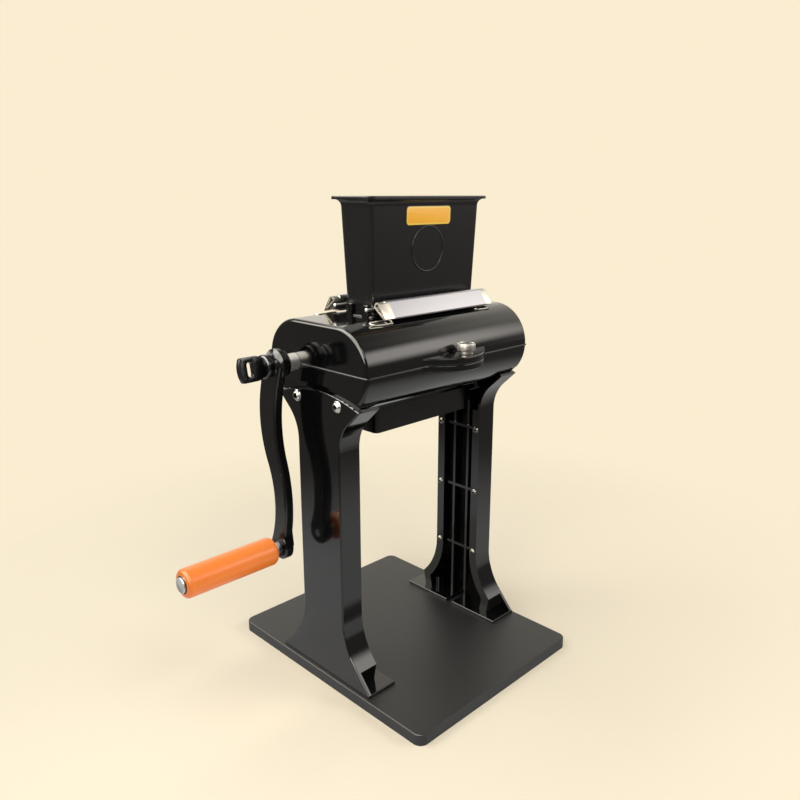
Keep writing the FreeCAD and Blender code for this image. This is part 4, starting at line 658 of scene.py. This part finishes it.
# %% Thumb screw
low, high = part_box("crank_screw")
hub_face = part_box("crank_arm")[0][0] / MM
shaft_y, shaft_z = (low[1] + high[1]) / 2 / MM, (low[2] + high[2]) / 2 / MM
tip_x, shank_x = low[0] / MM, high[0] / MM
collar_x = hub_face - 7.2
thumb = bmesh.new()
turned(thumb, (0, shaft_y, shaft_z), (1, 0, 0), (0, 0, 1),
       [(collar_x, 0), (collar_x, 9.9), (collar_x + 0.9, 11.0), (collar_x + 1.8, 11.3),
        (collar_x + 4.6, 11.3), (collar_x + 5.6, 10.6), (collar_x + 5.6, 9.2), (hub_face, 9.2),
        (hub_face, 3.9), (shank_x, 3.9), (shank_x, 0)], [2, 3, 4, 5], 0.45)

WING_TURN = math.radians(-12)
wing = bmesh.new()
half_width, half_thick = 11.6, 2.2
bow = tip_x + 2.4
edge_points = [(collar_x + 1.0, half_width - 3.4), (collar_x - 3.2, half_width - 1.0),
               (collar_x - 6.5, half_width - 0.2), (bow + 0.4, half_width),
               (tip_x + 0.5, half_width * 0.45), (tip_x, 0)]
edge_points += [(x, -v) for x, v in reversed(edge_points[:-1])]
_, outer_edges = outline(wing, [(x, 0, v) for x, v in edge_points], [1, 3, 4, 5, 6, 7, 9], 1.6,
                         closed=True)
slot_x, slot_half, slot_wide = (collar_x + tip_x) / 2 - 1.2, 6.9, 2.9
_, slot_edges = outline(wing, [(slot_x + sx * slot_wide, 0, sz * slot_half) for sx, sz in ROUND],
                        range(4), 2.8, closed=True)
bmesh.ops.triangle_fill(wing, use_beauty=True, edges=outer_edges + slot_edges)
bmesh.ops.translate(wing, verts=wing.verts, vec=(0, -half_thick * MM, 0))
grow(wing, list(wing.faces), (0, 2 * half_thick, 0))
bmesh.ops.recalc_face_normals(wing, faces=wing.faces)
soften(wing, 1.1, 60, 3,
       [e for e in wing.edges if abs(e.verts[0].co.y - e.verts[1].co.y) < 1e-6])
turn = Matrix.Translation((0, shaft_y * MM, shaft_z * MM)) @ Matrix.Rotation(WING_TURN, 4, "X")
bmesh.ops.transform(wing, verts=wing.verts, matrix=turn)
join(thumb, wing)
part("thumb_screw", thumb, dark_screw, "crank_screw", ["crank_screw"])

# %% [markdown]
# ## Latch clips
# Each latch ends in two nickel-plated clips of 1.7 mm sheet. A clip is rolled round a dark hinge pin
# at the top, falls along the bar, and turns under it into a toe, so its end shows a drop-shaped
# loop. One wire in that shape, extruded along the pin and given the sheet's thickness, is the way
# the press makes it. The pin stops just inside the roll and shows as a dark eye.

# %% Clip section, and four clips
SHEET = 1.7
ROLL_Y, ROLL_Z, ROLL_RADIUS = -32.4, 382.9, 3.6
TOE_Y, TOE_Z = -43.0, 370.9


def clip_path(shape, x, sign):
    """The middle line of the sheet, seen along the rod: roll, face, toe and return leg. The sign
    is 1 for the front clips, whose places are given, and -1 for their mirror image at the rear."""
    reach = math.hypot(TOE_Y - ROLL_Y, TOE_Z - ROLL_Z)
    heading = math.atan2(TOE_Z - ROLL_Z, TOE_Y - ROLL_Y)
    spread = math.acos(ROLL_RADIUS / reach)
    face_y = ROLL_Y + ROLL_RADIUS * math.cos(heading - spread)
    face_z = ROLL_Z + ROLL_RADIUS * math.sin(heading - spread)
    start = shape.verts.new(Vector((x, sign * face_y, face_z)) * MM)
    # the roll runs the long way round, from the bar's face over the top to the return leg
    roll = bmesh.ops.spin(shape, geom=[start], cent=Vector((x, sign * ROLL_Y, ROLL_Z)) * MM,
                          axis=(1, 0, 0), steps=18, angle=sign * -(math.tau - 2 * spread))
    last = roll["geom_last"][0]
    face_end = shape.verts.new(Vector((x, sign * (TOE_Y - 0.6), TOE_Z + 0.9)) * MM)
    toe_end = shape.verts.new(Vector((x, sign * (TOE_Y + 1.0), TOE_Z + 0.1)) * MM)
    shape.edges.new((start, face_end))
    shape.edges.new((face_end, toe_end))
    shape.edges.new((toe_end, last))
    bmesh.ops.bevel(shape, geom=[face_end, toe_end], affect="VERTICES", segments=3,
                    offset=0.7 * MM, profile=0.5, material=-1)


def clip(shape, x, length, sign):
    """One clip, from x on, as long as given along the pin."""
    sheet = bmesh.new()
    clip_path(sheet, x, sign)
    made = bmesh.ops.extrude_edge_only(sheet, edges=list(sheet.edges))["geom"]
    bmesh.ops.translate(sheet, verts=verts_of(made), vec=(length * MM, 0, 0))
    bmesh.ops.remove_doubles(sheet, verts=sheet.verts, dist=1e-6)
    bmesh.ops.recalc_face_normals(sheet, faces=sheet.faces)
    bmesh.ops.solidify(sheet, geom=list(sheet.faces), thickness=SHEET * MM)
    bmesh.ops.recalc_face_normals(sheet, faces=sheet.faces)
    rims = [e for e in sheet.edges if abs(e.verts[0].co.x - e.verts[1].co.x) < 1e-6]
    soften(sheet, 0.35, 60, 2, rims)
    join(shape, sheet)


for side, sign in (("front", 1), ("rear", -1)):
    node = side + "_latch_clips"
    low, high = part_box(node)
    clips = bmesh.new()
    clip(clips, low[0] / MM, 12.5, sign)
    clip(clips, high[0] / MM - 8.0, 8.0, sign)
    part(side + "_rolled_clips", clips, nickel, side + "_latch", [node])
    pins = bmesh.new()
    for x, length in ((low[0] / MM + 1.6, 9.3), (high[0] / MM - 7.2, 5.6)):
        turned(pins, (x, sign * ROLL_Y, ROLL_Z), (1, 0, 0), (0, 0, 1),
               [(0, 0), (0, 2.5), (length, 2.5), (length, 0)], [1, 2], 0.4, 32)
    part(side + "_hinge_pins", pins, dark_screw, side + "_latch")

# %% [markdown]
# ## Throat posts on the hood
# Beside the throat the casting has short bevelled posts that guide the hopper's spout. Each is a
# rounded rectangle grown upwards in two steps, and the second step is drawn in for the bevel. They
# are part of the hood's casting, so they share its enamel.

# %% Bevelled posts
def post(shape, x, y, wide, deep, low, top):
    """An upright bar of the casting with rounded corners and a bevelled top."""
    _, edges = outline(shape, [(x + sx * wide / 2, y + sy * deep / 2, low) for sx, sy in ROUND],
                       range(4), 0.9, closed=True, steps=3)
    face = bmesh.ops.contextual_create(shape, geom=edges)["faces"]
    face = grow(shape, face, (0, 0, top - low - 0.8))
    middle = Matrix.Translation(Vector((-x, -y, 0)) * MM)
    rim = grow(shape, face, (0, 0, 0.8))
    bmesh.ops.scale(shape, verts=list({v for f in rim for v in f.verts}), space=middle,
                    vec=((wide - 1.4) / wide, (deep - 1.4) / deep, 1))


HOOD_TOP, POST_TOP = 370.0, 381.8
throat_x = (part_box("hopper")[0][0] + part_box("hopper")[1][0]) / 2 / MM
guides = bmesh.new()
for sign in (-1, 1):
    for x in (throat_x - 72.0, throat_x + 72.0):
        post(guides, x, sign * 11.2, 6.0, 8.6, HOOD_TOP - 1.5, POST_TOP)
part("throat_posts", guides, body_enamel, "hood")

# %% [markdown]
# ## Latch keepers
# In front of each clip a wire keeper lies on the enamel, and the clip's toe snaps under it. It is a
# rounded loop of 1.2 mm nickel-plated wire. A curve with a round bevel makes it, because a wire is
# bent from rod and has no edges. The loop follows the hood's rolled shoulder.

# %% Wire keepers
WIRE_RADIUS = 0.6
SHOULDER_RADIUS, SHOULDER_Y, SHOULDER_Z = 40.0, 30.0, 330.0


def hood_level(y):
    """The height of the hood's skin at a distance from its middle."""
    beyond = max(abs(y) - SHOULDER_Y, 0)
    return SHOULDER_Z + math.sqrt(max(SHOULDER_RADIUS ** 2 - beyond ** 2, 0))


def keeper(name, points):
    """A closed loop of wire through points in mm, made a mesh."""
    curve = bpy.data.curves.new(name, "CURVE")
    curve.dimensions = "3D"
    curve.bevel_depth = WIRE_RADIUS * MM
    curve.bevel_resolution = 3
    curve.resolution_u = 6
    spline = curve.splines.new("BEZIER")
    spline.bezier_points.add(len(points) - 1)
    for knot, place in zip(spline.bezier_points, points):
        knot.co = Vector(place) * MM
        knot.handle_left_type = knot.handle_right_type = "AUTO"
    spline.use_cyclic_u = True
    holder = bpy.data.objects.new(name + "_curve", curve)
    shape = bmesh.new()
    shape.from_mesh(bpy.data.meshes.new_from_object(holder))
    bpy.data.objects.remove(holder)
    part(name, shape, nickel, "hood", sharp=60)


near, far = 36.4, 43.8
for side, sign in (("front", -1), ("rear", 1)):
    for end, x0, x1 in (("left", -80.0, -55.5), ("right", 62.0, 80.0)):
        # the loop's corners, seen from above, from the end near the crank round to it again
        loop = [(x0 + 1.2, near), (x0 + 6, near - 0.2), (x1 - 6, near - 0.2), (x1 - 1, near + 0.6),
                (x1 + 0.2, near + 3.4), (x1 - 1.2, far - 0.4), (x1 - 6, far), (x0 + 6, far),
                (x0 + 1.6, far - 0.8), (x0 - 0.4, near + 2.6)]
        keeper(side + "_keeper_" + end,
               [(x, sign * y, hood_level(y) + 0.55) for x, y in loop])

# %% [markdown]
# ## Rod ends
# The pivot rods are cut from 3 mm wire and their ends are peened over, so each ends in a small
# dome. A turned dome a little wider than the rod does it.

# %% Peened ends
for side, sign in (("front", -1), ("rear", 1)):
    low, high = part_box(side + "_latch_rod")
    y, z = (low[1] + high[1]) / 2 / MM, (low[2] + high[2]) / 2 / MM
    domes = bmesh.new()
    for x, out in ((low[0] / MM, -1), (high[0] / MM, 1)):
        turned(domes, (x, y, z), (out, 0, 0), (0, 0, 1),
               [(-1.2, 0), (-1.2, 2.0), (0.2, 2.1), (0.9, 1.6), (1.25, 0.8), (1.35, 0)],
               [2, 3], 0.4, 24)
    part(side + "_rod_ends", domes, bright_zinc, side + "_latch")

# %% [markdown]
# ## Plain ring moulded on the hopper
# The hopper's front carries a raised ring, 44 mm across and under a millimetre high, moulded with
# the wall. The wall leans outwards by two degrees, so the ring is turned on an axis that leans with
# it. A bump would vanish at its edge, where the ring really casts a thin shadow.

# %% Raised ring
# the front wall starts on the collar and leans out by 3.25 mm over its height of 94.5 mm
COLLAR_TOP, COLLAR_Y = 382.5, 18.5
LEAN = math.atan2(3.25, 94.5)
wall_out = Vector((0, -math.cos(LEAN), -math.sin(LEAN)))
wall_up = Vector((0, -math.sin(LEAN), math.cos(LEAN)))


def on_wall(x, z):
    """A point on the hopper's front wall."""
    return Vector((x, -(COLLAR_Y + (z - COLLAR_TOP) * math.tan(LEAN)), z))


ring = bmesh.new()
turned(ring, on_wall(13.5, 430.5), wall_out, wall_up,
       [(-0.4, 20.9), (0.45, 20.9), (0.75, 21.4), (0.75, 21.9), (0.45, 22.4), (-0.4, 22.4)],
       [1, 2, 3, 4], 0.2, 96, closed=True)
part("hopper_ring", ring, hopper_abs, "hopper")

# %% [markdown]
# ## Blank label plate
# An amber film label, 62 by 18 mm, sits under the rim. It is left blank, with only a thin dark line
# along its border. Its corners are die-cut round. The plate is one rounded face
# that stands 0.35 mm proud of the wall and is sunk 0.15 mm into it.

# %% Label plate
low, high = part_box("hopper_label")
label_x, label_z = (low[0] + high[0]) / 2 / MM, (low[2] + high[2]) / 2 / MM
label_wide, label_tall = (high[0] - low[0]) / MM, 18.2
centre = on_wall(label_x, label_z)
plate = bmesh.new()
corners = [centre + Vector((sx * label_wide / 2, 0, 0)) + wall_up * (sz * label_tall / 2)
           for sx, sz in ROUND]
_, edges = outline(plate, [c - wall_out * 0.15 for c in corners], range(4), 3.4, closed=True)
face = bmesh.ops.contextual_create(plate, geom=edges)["faces"]
grow(plate, face, wall_out * 0.5)
bmesh.ops.recalc_face_normals(plate, faces=plate.faces)
# only the outer edges, which show, are rounded
soften(plate, 0.12, 60, 2, [e for e in plate.edges if e.calc_length() > 1e-9
                            and all((v.co / MM - centre).dot(wall_out) > 0.3 for v in e.verts)])
part("blank_label", plate, label_film, "hopper", ["hopper_label"])

# %% [markdown]
# ## Pin through the grip
# The grip turns on a bright pin whose wide, flat head shows at its end, with a thin black washer
# under it. A bright shoulder shows in the gap between the grip and the arm. All of it is lathe work,
# so one outline is spun round the pin's axis.

# %% Pin and its washer
low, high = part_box("grip_pin")
pin_y, pin_z = (low[1] + high[1]) / 2 / MM, (low[2] + high[2]) / 2 / MM
head_x, foot_x = low[0] / MM, high[0] / MM
grip_end, grip_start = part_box("grip")[0][0] / MM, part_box("grip")[1][0] / MM
washer_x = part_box("grip_washer")[0][0] / MM
pin = bmesh.new()
turned(pin, (0, pin_y, pin_z), (1, 0, 0), (0, 0, 1),
       [(head_x + 0.25, 0), (head_x + 0.25, 6.2), (head_x, 6.8), (head_x + 0.3, 7.5),
        (grip_end - 0.4, 7.5), (grip_end - 0.4, 3.9), (grip_start + 0.6, 3.9),
        (grip_start + 0.6, 6.6), (washer_x, 6.6), (washer_x, 3.9), (foot_x, 3.9), (foot_x, 0)],
       [2, 3, 4, 7, 8], 0.3)
part("turned_grip_pin", pin, bright_zinc, "drive_roller", ["grip_pin"])

gasket = bmesh.new()
turned(gasket, (0, pin_y, pin_z), (1, 0, 0), (0, 0, 1),
       [(grip_end - 0.4, 5.0), (grip_end - 0.4, 8.3), (grip_end + 0.1, 8.5), (grip_end + 0.1, 5.0)],
       closed=True)
part("grip_end_gasket", gasket, dark_screw, "drive_roller")
